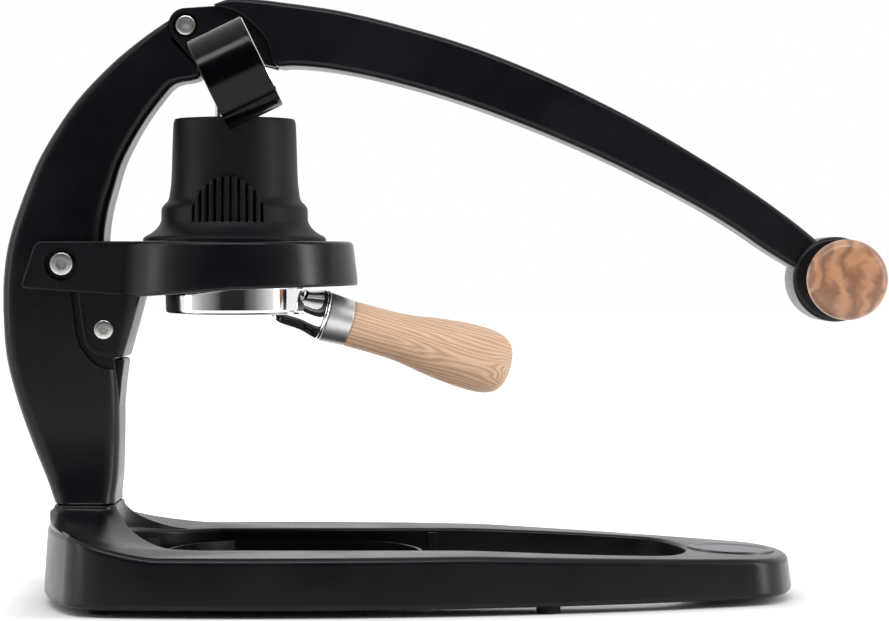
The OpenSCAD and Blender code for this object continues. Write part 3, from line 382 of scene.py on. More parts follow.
def crom(rows, steps):
    """Smooth rows through the given ones."""
    out = []
    n = len(rows)
    for i in range(n - 1):
        p0, p1, p2, p3 = rows[max(i - 1, 0)], rows[i], rows[i + 1], rows[min(i + 2, n - 1)]
        for s in range(steps):
            t = s / steps
            row = []
            for a, b, c, d in zip(p0, p1, p2, p3):
                row.append(0.5 * (2 * b + (c - a) * t + (2 * a - 5 * b + 4 * c - d) * t * t
                                  + (3 * b - a - 3 * c + d) * t ** 3))
            out.append(row)
    out.append(list(rows[-1]))
    return out


def rrect(row, n=6):
    """Cross section of a curved bar, from its outer and inner x and z, half width and corner."""
    ox, oz, ix, iz, t, c = row
    l = math.hypot(ox - ix, oz - iz)
    ux, uz = (ox - ix) / l, (oz - iz) / l
    mx, mz = (ox + ix) / 2, (oz + iz) / 2
    c = min(c, l / 2 * 0.98, t * 0.98)
    pts = []
    for q in range(4):
        sx = 1 if q in (0, 3) else -1
        sy = 1 if q < 2 else -1
        for s in range(n + 1):
            a = math.radians(90 * q + 90 * s / n)
            p = sx * (l / 2 - c) + c * math.cos(a)
            y = sy * (t - c) + c * math.sin(a)
            pts.append((mx + ux * p, y, mz + uz * p))
    return pts


# ---------------------------------------------------------------- base

# Radii of the outline: rear, rear corner, side, nose corner, nose.
REAR_R, REAR_KR, SIDE_R, NOSE_KR, NOSE_R = 180.0, 27.0, 600.0, 30.0, 78.0
HALF_W, REAR, FRONT = 95.0, 89.6, 266.7
WIDEST_X = 10.0
RIM, UNDER = 27.0, 3.5
EDGE_R, FOOT_R, DRAFT = 3.5, 2.5, 1.6
SLOPE, SLOPE_FROM, SLOPE_EASE = 0.0405, 115.0, 12.0
RIDGE_H, RIDGE_FROM, RIDGE_RUN, RIDGE_N = 9.6, -28.0, 42.0, 7
LOOP_R, LOOP_W, LOOP_FRONT, LOOP_BEND_X = 56.0, 54.5, 216.0, 140.0
LOOP_SIDE_R, LOOP_KR, LOOP_END_R = 200.0, 22.0, 90.0
BADGE_X, BADGE_SINK = 238.0, 1.4
WALL = 6.0
FOOT_BOLT_X, FOOT_BOLT_Y = -69.55, 13.0


def corner_centre(c1, r1, c2, r2, front):
    dx, dy = c2[0] - c1[0], c2[1] - c1[1]
    d = math.hypot(dx, dy)
    ux, uy = dx / d, dy / d
    a = (r1 * r1 - r2 * r2 + d * d) / (2 * d)
    h = math.sqrt(r1 * r1 - a * a)
    q1 = (c1[0] + a * ux - h * uy, c1[1] + a * uy + h * ux)
    q2 = (c1[0] + a * ux + h * uy, c1[1] + a * uy - h * ux)
    return q1 if (q1[0] > q2[0]) == front else q2


def ang(a, b):
    return math.degrees(math.atan2(b[1] - a[1], b[0] - a[0]))


rear_c, side_c, nose_c = (REAR_R - REAR, 0), (WIDEST_X, HALF_W - SIDE_R), (FRONT - NOSE_R, 0)
rear_k = corner_centre(rear_c, REAR_R - REAR_KR, side_c, SIDE_R - REAR_KR, False)
nose_k = corner_centre(nose_c, NOSE_R - NOSE_KR, side_c, SIDE_R - NOSE_KR, True)
loop_rear_c, loop_side_c = (LOOP_R - 53, 0), (LOOP_BEND_X, LOOP_W - LOOP_SIDE_R)
loop_end_c = (LOOP_FRONT - LOOP_END_R, 0)
loop_k = corner_centre(loop_side_c, LOOP_SIDE_R - LOOP_KR, loop_end_c, LOOP_END_R - LOOP_KR, True)
loop_join = math.degrees(math.asin(LOOP_W / LOOP_R))
# Steps along the rears, the corners, the sides and the noses.
RN, CN, SN, NN = 10, 14, 16, 10


def base_half(d):
    """Half of the outline of the base, drawn in by d."""
    a1, a2 = ang(rear_c, rear_k), ang(side_c, rear_k)
    a3, a4 = ang(side_c, nose_k), ang(nose_c, nose_k)
    rise = math.degrees(math.acos((RIDGE_FROM - WIDEST_X) / SIDE_R))
    kink = math.degrees(math.acos((SLOPE_FROM - WIDEST_X) / (SIDE_R - DRAFT - EDGE_R)))
    return (arc(rear_c, REAR_R - d, 180, a1, RN, 0) + arc(rear_k, REAR_KR - d, a1, a2, CN)
            + arc(side_c, SIDE_R - d, a2, rise, RIDGE_N)
            + arc(side_c, SIDE_R - d, rise, kink, SN - RIDGE_N)
            + arc(side_c, SIDE_R - d, kink, a3, SN)
            + arc(nose_k, NOSE_KR - d, a3, a4, CN) + arc(nose_c, NOSE_R - d, a4, 0, NN))


def loop_half(d):
    """Half of the outline of the opening, drawn in by d."""
    a1, a2 = ang(loop_side_c, loop_k), ang(loop_end_c, loop_k)
    x0 = loop_rear_c[0] - (LOOP_R - d) * math.cos(math.radians(loop_join))
    straight = [(x0 + (SLOPE_FROM - x0) * i / SN, LOOP_W - d) for i in range(1, SN + 1)]
    return (arc(loop_rear_c, LOOP_R - d, 180, 180 - loop_join, RN + CN, 0) + straight
            + [(LOOP_BEND_X, LOOP_W - d)] + arc(loop_side_c, LOOP_SIDE_R - d, 90, a1, SN - 1)
            + arc(loop_k, LOOP_KR - d, a1, a2, CN) + arc(loop_end_c, LOOP_END_R - d, a2, 0, NN))


def whole(h):
    return h + [(x, -y) for x, y in h[-2:0:-1]]


def deck(x):
    """Rises to a ridge at the rear, then level, then an even slope with its bend eased."""
    ridge = RIDGE_H * min(1.0, max(0.0, (RIDGE_FROM - x) / RIDGE_RUN)) ** 1.5
    t = x - SLOPE_FROM
    if t < -SLOPE_EASE:
        return RIM + ridge
    if t > SLOPE_EASE:
        return RIM - t * SLOPE
    return RIM - SLOPE * (t + SLOPE_EASE) ** 2 / (4 * SLOPE_EASE)


def on_deck():
    """Frame of the badge's seat in the slope of the deck."""
    return (Matrix.Translation((BADGE_X, 0, deck(BADGE_X)))
            @ Matrix.Rotation(math.atan(SLOPE), 4, "Y"))


def base():
    rows = []
    flat = lambda pts, z: [(x, y, z) for x, y in pts]
    on = lambda pts, drop: [(x, y, deck(x) - drop) for x, y in pts]
    rows.append(flat(whole(base_half(WALL)), UNDER))
    rows.append(flat(whole(base_half(FOOT_R)), UNDER))
    for a in (30, 60, 90):
        s = math.radians(a)
        rows.append(flat(whole(base_half(FOOT_R * (1 - math.sin(s)))),
                         UNDER + FOOT_R * (1 - math.cos(s))))
    for i in range(9):
        s = math.radians(i * 90 / 8)
        rows.append(on(whole(base_half(DRAFT + EDGE_R * (1 - math.cos(s)))),
                       EDGE_R * (1 - math.sin(s))))
    for i in range(7):
        s = math.radians(90 - i * 15)
        rows.append(on(whole(loop_half(-2 * (1 - math.cos(s)))), 2 * (1 - math.sin(s))))
    rows.append(flat(whole(loop_half(0)), UNDER + 0.4))
    rows.append(flat(whole(loop_half(-0.4)), UNDER))
    rows.append(flat(whole(loop_half(-WALL)), UNDER))
    hollow = lambda pts: [(x, y, 15 if -38 < x < 120 else UNDER + 0.8) for x, y in pts]
    rows.append(hollow(whole(loop_half(-WALL))))
    rows.append(hollow(whole(base_half(WALL))))
    o = skin("base_casting_body", rows, "black", 40, closed=True)
    boolean(o, post_seat(), "UNION")
    # Ledges and stops for the tray.
    for x, w, y0, y1, z0, z1 in ((-22, 14, 49, 56.5, 3.6, 6.6), (70, 14, 49, 56.5, 3.6, 6.6),
                                 (92, 5.5, 52, 56, 12, 25)):
        for s in (1, -1):
            pts = [(x, z0), (x + w, z0), (x + w, z1), (x, z1)]
            lug = prism("lug", pts, *side(s, y0, y1))
            bevel(lug, 0.6, 2)
            boolean(o, lug, "UNION")
    for s in (1, -1):
        lug = prism("lug", [(0, 16), (8, 16), (8, 24), (0, 24)], 0, 4)
        for v in lug.data.vertices:
            x, y = v.co.x / MM - BREW, v.co.y / MM
            c, q = math.cos(math.radians(38)), math.sin(math.radians(38))
            v.co.x = (BREW - 45.5 + x * c - y * q) * MM
            v.co.y = s * (28 + x * q + y * c) * MM
        boolean(o, lug, "UNION")
    seat = [(0, -BADGE_SINK), (20.8, -BADGE_SINK), (20.8, 5), (0, 5)]
    boolean(o, lathe("cut", seat, "black", on_deck(), 96))
    pocket = [(0, 0), (7, 0), (7, 18), (4.2, 18), (4.2, 50), (0, 50)]
    for y in (-FOOT_BOLT_Y, FOOT_BOLT_Y):
        boolean(o, lathe("cut", pocket, "black", Matrix.Translation((FOOT_BOLT_X, y, 0)), 48))
    smooth(o, 28)
    return dress(o, "stand", "base_casting")


def seat_ring(q):
    """Rounded outline of the post's foot, q outside it."""
    x0, x1, y, c = -83.6 - 0.8 - q, -55.5 + 0.8 + q, 23.5 + 0.8 + q, 8 + 0.8 + q
    ring = []
    for k in range(4):
        sx, sy = (-1 if k in (0, 3) else 1), (1 if k < 2 else -1)
        cx = (x0 + x1) / 2 + sx * ((x1 - x0) / 2 - c)
        for s in range(9):
            a = math.radians(180 - 90 * k - 90 * s / 8)
            ring.append((cx + c * math.cos(a), sy * (y - c) + c * math.sin(a)))
    return ring


def post_seat():
    """Flare of the base round the foot of the post, kept inside the base and off the opening."""
    rings = [[(x, y, RIM - 5) for x, y in seat_ring(60)]]
    levels = [(60, -0.1)] + [(60 * (1 - math.cos(math.radians(a))), 1 - math.sin(math.radians(a)))
                             for a in range(76, -1, -4)]
    for q, w in levels:
        rings.append([(x, y, (deck(x) - 0.7) * (1 - w) + 44.0 * w) for x, y in seat_ring(q)])
    rings += [[(x, y, z) for x, y in seat_ring(q)] for q, z in ((-0.15, 44.4), (-0.6, 44.8))]
    o = skin("seat", rings, "black", 40)
    clip = whole(base_half(2.6))
    verts = [(x, y, 10) for x, y in clip] + [(x, y, 60) for x, y in clip]
    c = add("clip", verts, prism_faces(len(clip)), "black")
    boolean(o, c, "INTERSECT")
    cut = lathe("cut", [(0, 0), (58.5, 0), (58.5, 60), (0, 60)], "black",
                Matrix.Translation((3, 0, 0)), 180)
    boolean(o, cut)
    bevel(o, 0.8, 3, 30)
    return o


base()


# ---------------------------------------------------------------- post and head

POST = [
    [-83.6, 44.8, -55.5, 44.8, 23.5, 8], [-85.6, 50, -55.4, 50, 22, 8],
    [-88.7, 58, -54.4, 58, 20.3, 8], [-95.4, 74, -53.8, 73, 19, 8],
    [-102.3, 94, -53.8, 91, 19, 7], [-107.6, 115, -54.8, 110, 19, 7],
    [-109.2, 137.5, -57.5, 130, 19, 7], [-109, 151, -60.4, 147, 19, 7],
    [-107.6, 164, -60.8, 160, 19, 7], [-104.8, 176, -61, 172, 18.6, 7],
    [-100.9, 187.8, -59.3, 184, 17.8, 7], [-96.6, 199.1, -56.3, 195.3, 17, 6.5],
    [-91.3, 210.9, -52.9, 206.5, 16.2, 6], [-81.5, 227.2, -47.4, 217.8, 15, 5.5],
    [-71.5, 240.4, -41.3, 228, 14, 5], [-58.4, 253.9, -34.4, 237.4, 13.3, 4.5],
    [-50.2, 261, -27.6, 244.5, 12.9, 4], [-42, 267.4, -16.8, 247, 12.6, 3.5],
    [-35.1, 272.2, -15.6, 252, 12.4, 3], [-28.8, 276.4, -14.6, 264, 12.2, 2.5]]
PX, PZ = -22.6, 272.6  # pivot of the lever
SLOT_DIR = math.radians(-46.7)
SLOT_IN, SLOT_OUT, SLOT_HALF, LOBE_R = 22.3, 31.8, 5.6, 9.6
PIN_Z = 250.6
ARM_BOLT, TAB_BOLT = (-79.6, 158.9), (-60.4, 127.8)
ARM_OUT, ARM_SEAT, FIELD_Y = 28.05, 23.55, 19.25
HEAD_TOP = 169.6


def slot_frame(a, b):
    """From along and across the fork slot to x and z."""
    c, s = math.cos(SLOT_DIR), math.sin(SLOT_DIR)
    return PX + a * c - b * s, PZ + a * s + b * c


def post():
    rows = crom(POST, 3)[1:]
    for r in rows:
        r[0] = max(r[0], -109.2)
    x0, z, x1, _, t, c = POST[0]
    foot = [[x0 + d, z + e, x1 - d, z + e, t - d, c]
            for d, e in ((1.1, 0), (0.45, 0.2), (0.05, 0.8))]
    rows = foot + rows
    o = skin("post_body", [rrect(r) for r in rows], "black", 40)
    shoulder = prism("shoulder", [(-58, 91), (-53.9, 91), (-52.7, 104), (-51.5, 112.8),
                                  (-52.3, 114), (-58, 114)], -13, 13)
    bevel(shoulder, 0.8, 3, 50)
    boolean(o, shoulder, "UNION")
    boolean(o, cyl("t", PX, PZ, 7.9, -6.0, 6.0), "UNION")
    for s in (1, -1):
        y0, y1 = side(s, 6.0, 30)
        boolean(o, cyl("c", PX, PZ, 8.5, y0, y1))
        boolean(o, prism("c", [slot_frame(0, -9.9), slot_frame(70, -9.9), slot_frame(70, 60),
                               slot_frame(0, 60)], y0, y1))
        recess = [(-76.6, 150), (-76.1, 143.7), (-74.7, 132.4), (-73.8, 125.3), (-71.9, 119.6),
                  (-69.3, 115.9), (-66.9, 113), (-63.8, 110.6), (-60.3, 109.2), (-56, 108.8),
                  (-40, 108.8), (-40, 150)]
        boolean(o, prism("c", recess, *side(s, 16, 40)))
    bevel(o, 0.5, 2, 50)
    smooth(o, 30)
    return dress(o, "stand", "post")


post()


TAB = [(-73.1, 149), (-72.7, 143.7), (-71.4, 132.4), (-70.5, 126), (-69.5, 121.8), (-67.9, 118.6),
       (-65.3, 116.4), (-62.4, 115.2), (-59.1, 114.8), (-55, 114.8), (-51, 149)]
FIELD = [(-71, 141.2), (-69.8, 132.4), (-68.8, 125.3), (-66.6, 121), (-63.6, 118.5), (-60.4, 117.7),
         (-56.4, 117.9), (-55.2, 118.9), (-51.1, 140.2)]
UNDER_HEAD = [(-110, 147.5), (-98.5, 147.5), (-42, 143.5), (3, 146.9), (54, 148.5), (70, 148.8)]


def under_head(x):
    """Height of the sloping underside of the ring and arms."""
    for (x0, z0), (x1, z1) in zip(UNDER_HEAD, UNDER_HEAD[1:]):
        if x <= x1:
            return z0 + (z1 - z0) * (x - x0) / (x1 - x0)
    return UNDER_HEAD[-1][1]


def saddle():
    """Block between the tabs in front of the post, with rounded front corners."""
    rings = []
    for x0, x1, c, z in ((-54.3, -52.1, 2.9, 114.8), (-54.95, -51.4, 3.4, 115.5),
                         (-57.2, -47.1, 5, 130), (-59.9, -43, 6.5, 145.5),
                         (-60.4, -42.2, 6.8, 149)):
        y = 20.05 - (0.5 if z < 115 else 0)
        front = arc((x1 - c, y - c), c, 0, 90, 10, 0)
        outline = [(x0, -y)] + [(x, -b) for x, b in front[:0:-1]] + front + [(x0, y)]
        rings.append([(x, b, z) for x, b in outline])
    return skin("saddle", rings, "black", 40)


def head():
    prof = [(44, 0), (58.0, 0), (58.6, 0.25), (58.9, 0.8), (58.95, 1.5), (58.8, 4)]
    prof += arc((54.5, HEAD_TOP - 2.5), 2.5, 0, 90, 9, 0)
    prof += [(44.4, HEAD_TOP), (44, HEAD_TOP - 0.4)]
    o = lathe("head_frame_body", prof, "black", seg=200)
    for v in o.data.vertices:
        z = v.co.z / MM
        if z < 10:
            v.co.z = (z + under_head(v.co.x / MM - BREW)) * MM
    arm = [(-30, under_head(-30)), (-42, 143.5), (-96.6, 147.4), (-97.7, 147.9), (-98.2, 149.3),
           (-92.4, HEAD_TOP - 2.4), (-91.2, HEAD_TOP - 0.8), (-89.2, HEAD_TOP), (-30, HEAD_TOP)]
    boolean(o, saddle(), "UNION")
    for s in (1, -1):
        a = prism("arm", arm, *side(s, 19.05, ARM_OUT))
        bevel(a, 1.5, 4, 30)
        boolean(a, lathe("c", [(0, 0), (45, 0), (45, 300), (0, 300)], "black", seg=120))
        boolean(o, a, "UNION")
        t = prism("tab", TAB, *side(s, 16.05, 20.05))
        bevel(t, 0.7, 3, 30)
        boolean(o, t, "UNION")
        boolean(o, prism("field", FIELD, *side(s, FIELD_Y, 30)))
        boolean(o, cyl("c", *ARM_BOLT, 7.9, *side(s, ARM_SEAT, 40)))
        boolean(o, cyl("c", *ARM_BOLT, 3.2, *side(s, 10, 40), 32))
        boolean(o, cyl("c", *TAB_BOLT, 2.7, *side(s, 10, 40), 32))
    smooth(o, 30)
    return dress(o, "stand", "head_frame")


head()


def screw(to, r, head_r, head_h, length):
    """Socket head screw: seat at local z 0, head up, hexagon socket lined with a darker material as
    painted shade.
    """
    prof = [(0, -length), (r - 0.4, -length), (r, -length + 0.4), (r, 0), (head_r - 0.1, 0),
            (head_r, 0.15), (head_r, head_h - 0.6), (head_r - 0.15, head_h - 0.25),
            (head_r - 0.6, head_h), (0, head_h)]
    o = lathe("screw", prof, "bolt", to, 64, 30)
    o.data.materials.append(M["socket"])
    hexa = arc((0, 0), r * 0.95, 0, 300, 5, 0)
    z0, z1 = head_h * 0.4, head_h + 2
    verts = [tuple(to @ Vector((x, y, z))) for z in (z0, z1) for x, y in hexa]
    boolean(o, add("hex", verts, prism_faces(6), "bolt"))
    back = to.inverted()
    # Faces inside the socket take the darker material: painted shade.
    for f in o.data.polygons:
        c = back @ Vector((f.center.x / MM - BREW, f.center.y / MM, f.center.z / MM))
        if math.hypot(c.x, c.y) < r * 0.9 and z0 - 0.01 < c.z < head_h - 0.05:
            f.material_index = 1
    return o


def screws(name, node, places, *sizes):
    """Screws at places, with their heads away from the middle plane, as one piece."""
    o = None
    for x, y, z in places:
        up = Matrix.Rotation(math.radians(90 if y < 0 else -90), 4, "X")
        one = screw(Matrix.Translation((x, y, z)) @ up, *sizes)
        if o:
            boolean(o, one, "UNION")
        else:
            o = one
    o.name = name
    smooth(o, 30)
    return dress(o, "stand", node)


def pair(at, y):
    """The same place on both sides of the middle plane."""
    return [(at[0], s * y, at[1]) for s in (-1, 1)]


screws("arm_bolts_body", "arm_bolts", pair(ARM_BOLT, ARM_SEAT), 3, 5.35, 4.2, 15.55)
screws("tab_bolts_body", "tab_bolts", pair(TAB_BOLT, FIELD_Y), 2.5, 4.5, 2.6, 11)
screws("pivot_bolt_body", "pivot_bolt", [(PX, -9, PZ)], 3, 4.7, 2.6, 20.6)

PATCH_AT, RIB_STEP, RIBS = -92, 6.1, 9  # degrees, degrees, count


def turned(o, a):
    """Turns a piece about the brew axis."""
    for v in o.data.vertices:
        x, y = v.co.x / MM - BREW, v.co.y / MM
        v.co.x = (BREW + x * math.cos(a) - y * math.sin(a)) * MM
        v.co.y = (x * math.sin(a) + y * math.cos(a)) * MM
    return o


def thumb_patch(o):
    """Upright ribs with grooves between them, under an arched top."""
    for i in range(RIBS + 1):
        a = math.radians(PATCH_AT + (i - RIBS / 2) * RIB_STEP)
        groove = prism("groove", [(31.6, 178.6), (40, 178.6), (40, 188), (31.6, 188)], -0.85, 0.85)
        boolean(o, turned(groove, a))
    for i in range(RIBS):
        k = i - RIBS // 2
        a = math.radians(PATCH_AT + k * RIB_STEP)
        top = 200.6 - 0.45 * k * k
        pts = [(28.6, 178.9), (35.3, 178.9), (35.3, top - 3.4), (35.0, top - 1.9),
               (34.2, top - 0.7), (33.0, top), (28.6, top)]
        rib = prism("rib", pts, -1.1, 1.1, "silicone")
        bevel(rib, 0.6, 3, 30)
        boolean(o, turned(rib, a), "UNION")


def sleeve():
    prof = [(28.1, 169.7), (43.3, 169.7), (43.75, 170.0), (43.85, 170.7), (43.5, 171.5),
            (42.6, 172.2), (41.4, 172.8), (40.0, 173.6), (38.6, 174.6), (37.2, 175.9),
            (36.2, 177.2), (35.4, 178.8), (35.1, 180.2), (35.05, 184.6), (34.9, 185.5),
            (34.4, 186.4), (33.4, 187.6), (32.3, 188.6), (31.6, 189.8), (31.2, 191.4),
            (30.85, 194), (30.4, 197.5), (30.1, 203), (29.9, 210.8), (29.6, 220), (29.45, 224),
            (29.3, 226), (29.0, 227.4), (28.6, 228.2), (28.3, 228.3), (28.1, 228.0)]
    o = lathe("sleeve_body", prof, "silicone", seg=200, angle=50)
    thumb_patch(o)
    smooth(o, 45)
    return dress(o, "stand", "silicone_sleeve")


sleeve()


# ---------------------------------------------------------------- lever

LEVER = [
    [-9, 282.2, -6.9, 281, 15.4, 0.9], [-2, 284.8, 2.4, 278.1, 16, 2.4],
    [4, 285.3, 9.4, 272.5, 16, 3], [9.8, 284.8, 14.6, 266.8, 16, 3],
    [15.5, 284.3, 17.8, 261.1, 16, 3], [21, 283.6, 18.8, 255.8, 16, 3],
    [27, 282.8, 21.8, 252.8, 16, 3], [34, 281.9, 29.5, 253, 16, 3],
    [49.5, 279.5, 44, 251.8, 16, 3], [66.6, 275.8, 59.5, 249.2, 16, 3],
    [83.6, 271.3, 74.5, 245.8, 16, 3], [100.7, 266.4, 90.5, 241.5, 16, 3],
    [117.8, 260.7, 107, 236.4, 16, 3], [134.8, 254.1, 122.5, 231, 16, 3],
    [151.9, 246.8, 139, 224.7, 16, 3], [169, 238.8, 155, 218.2, 15.7, 3],
    [186.1, 230.2, 171, 211.2, 15.4, 3], [203.1, 220.8, 187.5, 203.4, 15.1, 3],
    [220.2, 210.6, 204, 195.1, 14.9, 3], [237.3, 199.9, 221, 186, 14.7, 3],
    [254.4, 188.2, 238, 175.8, 14.6, 3], [268.5, 177.7, 253.5, 165.2, 14.5, 3],
    [278, 169.8, 268, 156.3, 14.5, 3]]


def lever():
    o = skin("lever_arm_body", [rrect(r) for r in crom(LEVER, 3)], "lever", 40)
    drum = [(0, -18)] + arc((17.7, -15.5), 2.5, -90, 0, 9, 0) + arc((17.7, 15.5), 2.5, 0, 90, 9, 0)
    drum.append((0, 18))
    boolean(o, lathe("d", drum, "lever", along_y(GRIP[0], 0, GRIP[1]), 128), "UNION")
    ear = arc((PX, PZ), 8.2, 95, 228, 24, 0)
    lobe = [slot_frame(*at) for at in arc((SLOT_OUT, 0), LOBE_R, -90, 90, 24, 0)]
    outline = ear + lobe + [(20.5, 252.5), (24, 262), (14, 274), (4, 281), (-7.4, 281.8)]
    for s in (1, -1):
        prong = prism("p", outline, *side(s, 6.1, 12), "lever")
        bevel(prong, 0.6, 3, 40)
        boolean(o, prong, "UNION")
    ends = (arc((SLOT_OUT, 0), SLOT_HALF, -90, 90, 16, 0)
            + arc((SLOT_IN, 0), SLOT_HALF, 90, 270, 16, 0))
    boolean(o, prism("c", [slot_frame(*at) for at in ends], -24, 24))
    boolean(o, cyl("c", PX, PZ, 4, -30, 30, 48))
    for s in (1, -1):
        boolean(o, cyl("c", PX, PZ, 6, *side(s, 9, 20), 64))
    smooth(o, 32)
    return dress(o, "lever", "lever_arm")


lever()


def grip():
    prof = [(0, 18.05), (13.0, 18.05), (13.6, 18.4), (13.9, 19), (14.0, 21.5), (14.3, 26),
            (14.75, 30), (15.4, 34.5), (16.2, 39), (17.0, 43.5), (17.7, 47.5), (18.2, 51),
            (18.5, 54), (18.6, 56), (18.5, 57.4), (18.1, 58.7), (17.4, 59.9), (16.3, 60.9),
            (14.6, 61.6), (12.0, 62.1), (8.0, 62.4), (0, 62.5)]
    to = Matrix.Translation((GRIP[0], 0, GRIP[1])) @ Matrix.Rotation(math.radians(90), 4, "X")
    return dress(lathe("grip_body", prof, "grip", to, 128, 60), "lever", "grip")


grip()


# ---------------------------------------------------------------- gauge

H = 13.8  # half the height of the case
DIAL = H - 6.3
GF = (Matrix.Translation((3.8, -50, 247)) @ Matrix.Rotation(math.radians(1.5), 4, "Z")
      @ Matrix.Rotation(math.radians(90 - 26), 4, "Y"))  # frame of the gauge, its face up


def gauge():
    case = [(0, -H), (21.9, -H), (22.3, -H + 0.15), (22.55, -H + 0.4), (22.7, -H + 0.8),
            (22.7, H - 3), (20.7, H - 3), (20.7, -H + 3), (0, -H + 3)]
    o = lathe("gauge_case_body", case, "gloss", GF, 128)
    boolean(o, lathe("c", [(0, 0), (4.5, 0), (4.5, 50), (0, 50)], "black",
                     along_y(0, -50, PIN_Z), 48))
    smooth(o, 35)
    dress(o, "plunger", "gauge_case")
    bez = [(20.7, H - 2.98), (22.6, H - 2.98), (22.7, H - 2.85), (22.7, H - 0.6), (22.55, H - 0.2),
           (22.1, H), (20.6, H), (20.1, H - 0.2), (19.9, H - 1), (20.7, H - 1)]
    dress(lathe("gauge_bezel_body", bez, "gloss", GF, 128, 40), "plunger", "gauge_bezel")
    lip = [(20.3, H - 0.3), (21.9, H - 0.3), (22.2, H), (22.0, H + 0.3), (20.6, H + 0.3), (20.2, H)]
    o = lathe("gauge_lip", lip, "chrome", GF, 128, 40)
    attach(o, "plunger")
    face = [(1.4, DIAL - 1), (20.6, DIAL - 1), (20.6, DIAL), (1.4, DIAL)]
    dress(lathe("gauge_dial_body", face, "dial", GF, 96), "plunger", "gauge_dial")
    marks = []
    for i in range(51):
        r0, w = (14.2, 0.32) if i % 10 == 0 else (15.6, 0.2) if i % 5 == 0 else (16.8, 0.11)
        marks.append((-135 + 270 * i / 50, r0, 18.6, w))
    ink("gauge_marks", marks, "ink")
    ink("gauge_zone", [(30 + 2.5 * i, 19.0, 19.7, 0.46) for i in range(24)], "zone")


def ink(name, marks, mat):
    """Flat bars on the dial: clockwise angle from the top, inner and outer end, half width."""
    verts, faces = [], []
    for a, r0, r1, w in marks:
        ca, sa = math.cos(math.radians(a)), math.sin(math.radians(a))
        n = len(verts)
        for z in (DIAL - 0.02, DIAL + 0.06):
            for r, t in ((r0, -w), (r1, -w), (r1, w), (r0, w)):
                verts.append(tuple(GF @ Vector((-r * ca - t * sa, r * sa - t * ca, z))))
        faces += [tuple(n + i for i in f) for f in prism_faces(4)]
    o = add(name, verts, faces, mat, 20)
    fix_normals(o)
    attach(o, "plunger")


gauge()


# ---------------------------------------------------------------- filter holder

HF = (Matrix.Translation((0, 0, HOLDER_Z)) @ Matrix.Rotation(YAW, 4, "Z")
      @ Matrix.Rotation(DROOP + math.pi / 2, 4, "Y"))  # frame of neck and handle


def bayonet_lug(a0, steps=10):
    """Curved bar on the rim of the holder, 24 degrees long."""
    section = [(30.5, 152.3), (40, 152.3), (40, 155.2), (30.5, 155.2)]
    verts, faces = [], []
    for i in range(steps + 1):
        a = YAW + math.radians(90 + a0 - 12 + 24 * i / steps)
        verts += [(r * math.cos(a), r * math.sin(a), z) for r, z in section]
    for i in range(steps):
        for k in range(4):
            e = (k + 1) % 4
            faces.append((i * 4 + k, i * 4 + e, (i + 1) * 4 + e, (i + 1) * 4 + k))
    faces += [(0, 1, 2, 3), tuple(steps * 4 + k for k in (3, 2, 1, 0))]
    return add("lug", verts, faces, "chrome")


def holder():
    prof = [(29.9, 135.0), (31.6, 134.9), (32.5, 135.05), (33.1, 135.5), (33.42, 136.1),
            (33.5, 136.9), (33.5, 137.1), (33.5, 147.0), (33.5, 147.2), (33.7, 147.7),
            (35.6, 148.9), (35.8, 149.2), (35.8, 155.4), (29.9, 155.4)]
    o = lathe("holder_body_shell", prof, "chrome", seg=200, angle=30)
    for a0 in (0, 180):
        boolean(o, bayonet_lug(a0), "UNION")
    smooth(o, 30)
    dress(o, "holder", "holder_body")
    neck = [(0, 21), (7.6, 21), (8.8, 22.2), (9.5, 24.6), (9.75, 28), (9.85, 32), (10.1, 34.6),
            (10.6, 36.8), (11.3, 39), (11.9, 41), (12.2, 42.3), (12.2, 42.9), (11.8, 43), (0, 43)]
    o = lathe("holder_neck_body", neck, "chrome", HF, 128, 40)
    boolean(o, lathe("c", [(0, 135), (33.3, 135), (33.3, 180), (0, 180)], "chrome", seg=160))
    smooth(o, 40)
    dress(o, "holder", "holder_neck")
    ring = [(4, 43.05), (11.5, 43.05), (12.1, 43.4), (12.4, 43.9), (12.4, 44.5), (12.1, 45.0),
            (11.5, 45.35), (4, 45.35)]
    dress(lathe("neck_ring_body", ring, "chrome", HF, 128, 50), "holder", "neck_ring")
    ferrule = [(4, 45.4), (11.4, 45.4), (11.85, 45.6), (11.95, 46.1), (11.7, 50), (11.4, 54),
               (11.15, 57), (11.0, 57.35), (10.6, 57.45), (4, 57.45)]
    dress(lathe("ferrule_body", ferrule, "brushed", HF, 128, 40), "holder", "handle_ferrule")
    w = crom([(11.05, 58.4), (11.1, 64), (11.1, 71), (11.3, 79), (11.9, 86), (13, 93), (14.1, 100),
              (15, 107), (15.6, 113.5), (15.9, 120), (15.8, 126), (15.0, 131), (13.3, 135),
              (10.5, 137.7), (6.4, 139.2), (2.2, 139.6)], 3)
    w = [(0, 57.5), (10.6, 57.5), (10.95, 57.8)] + [(r, z) for r, z in w] + [(0, 139.6)]
    dress(lathe("wood_handle_body", w, "ash", HF, 128, 60), "holder", "wood_handle")


holder()


def badge():
    """Bare disc with a raised rim, in its seat on the tip of the base."""
    prof = [(0, -BADGE_SINK), (20.4, -BADGE_SINK), (20.4, 0.55), (20.2, 0.8), (19.9, 0.86),
            (18.3, 0.86), (18.0, 0.78), (17.8, 0.55), (17.6, 0.5), (0, 0.62)]
    dress(lathe("base_badge_disc", prof, "badge", on_deck(), 128, 24), "stand", "base_badge")


badge()


# ---------------------------------------------------------------- stage, light, camera

# Outline of the base on the floor, metres, for the painted shadow round it: widest place, half
# width there, bow of the sides, ends.
BASE_WIDEST, BASE_HALF, BASE_BOW, BASE_ENDS = -0.0885, 0.095, 1.2, (-0.185, 0.162)


def calc(nt, op, a, b=0.0):
    return new_node(nt, "Math", {0: a, 1: b}, operation=op).outputs["Value"]


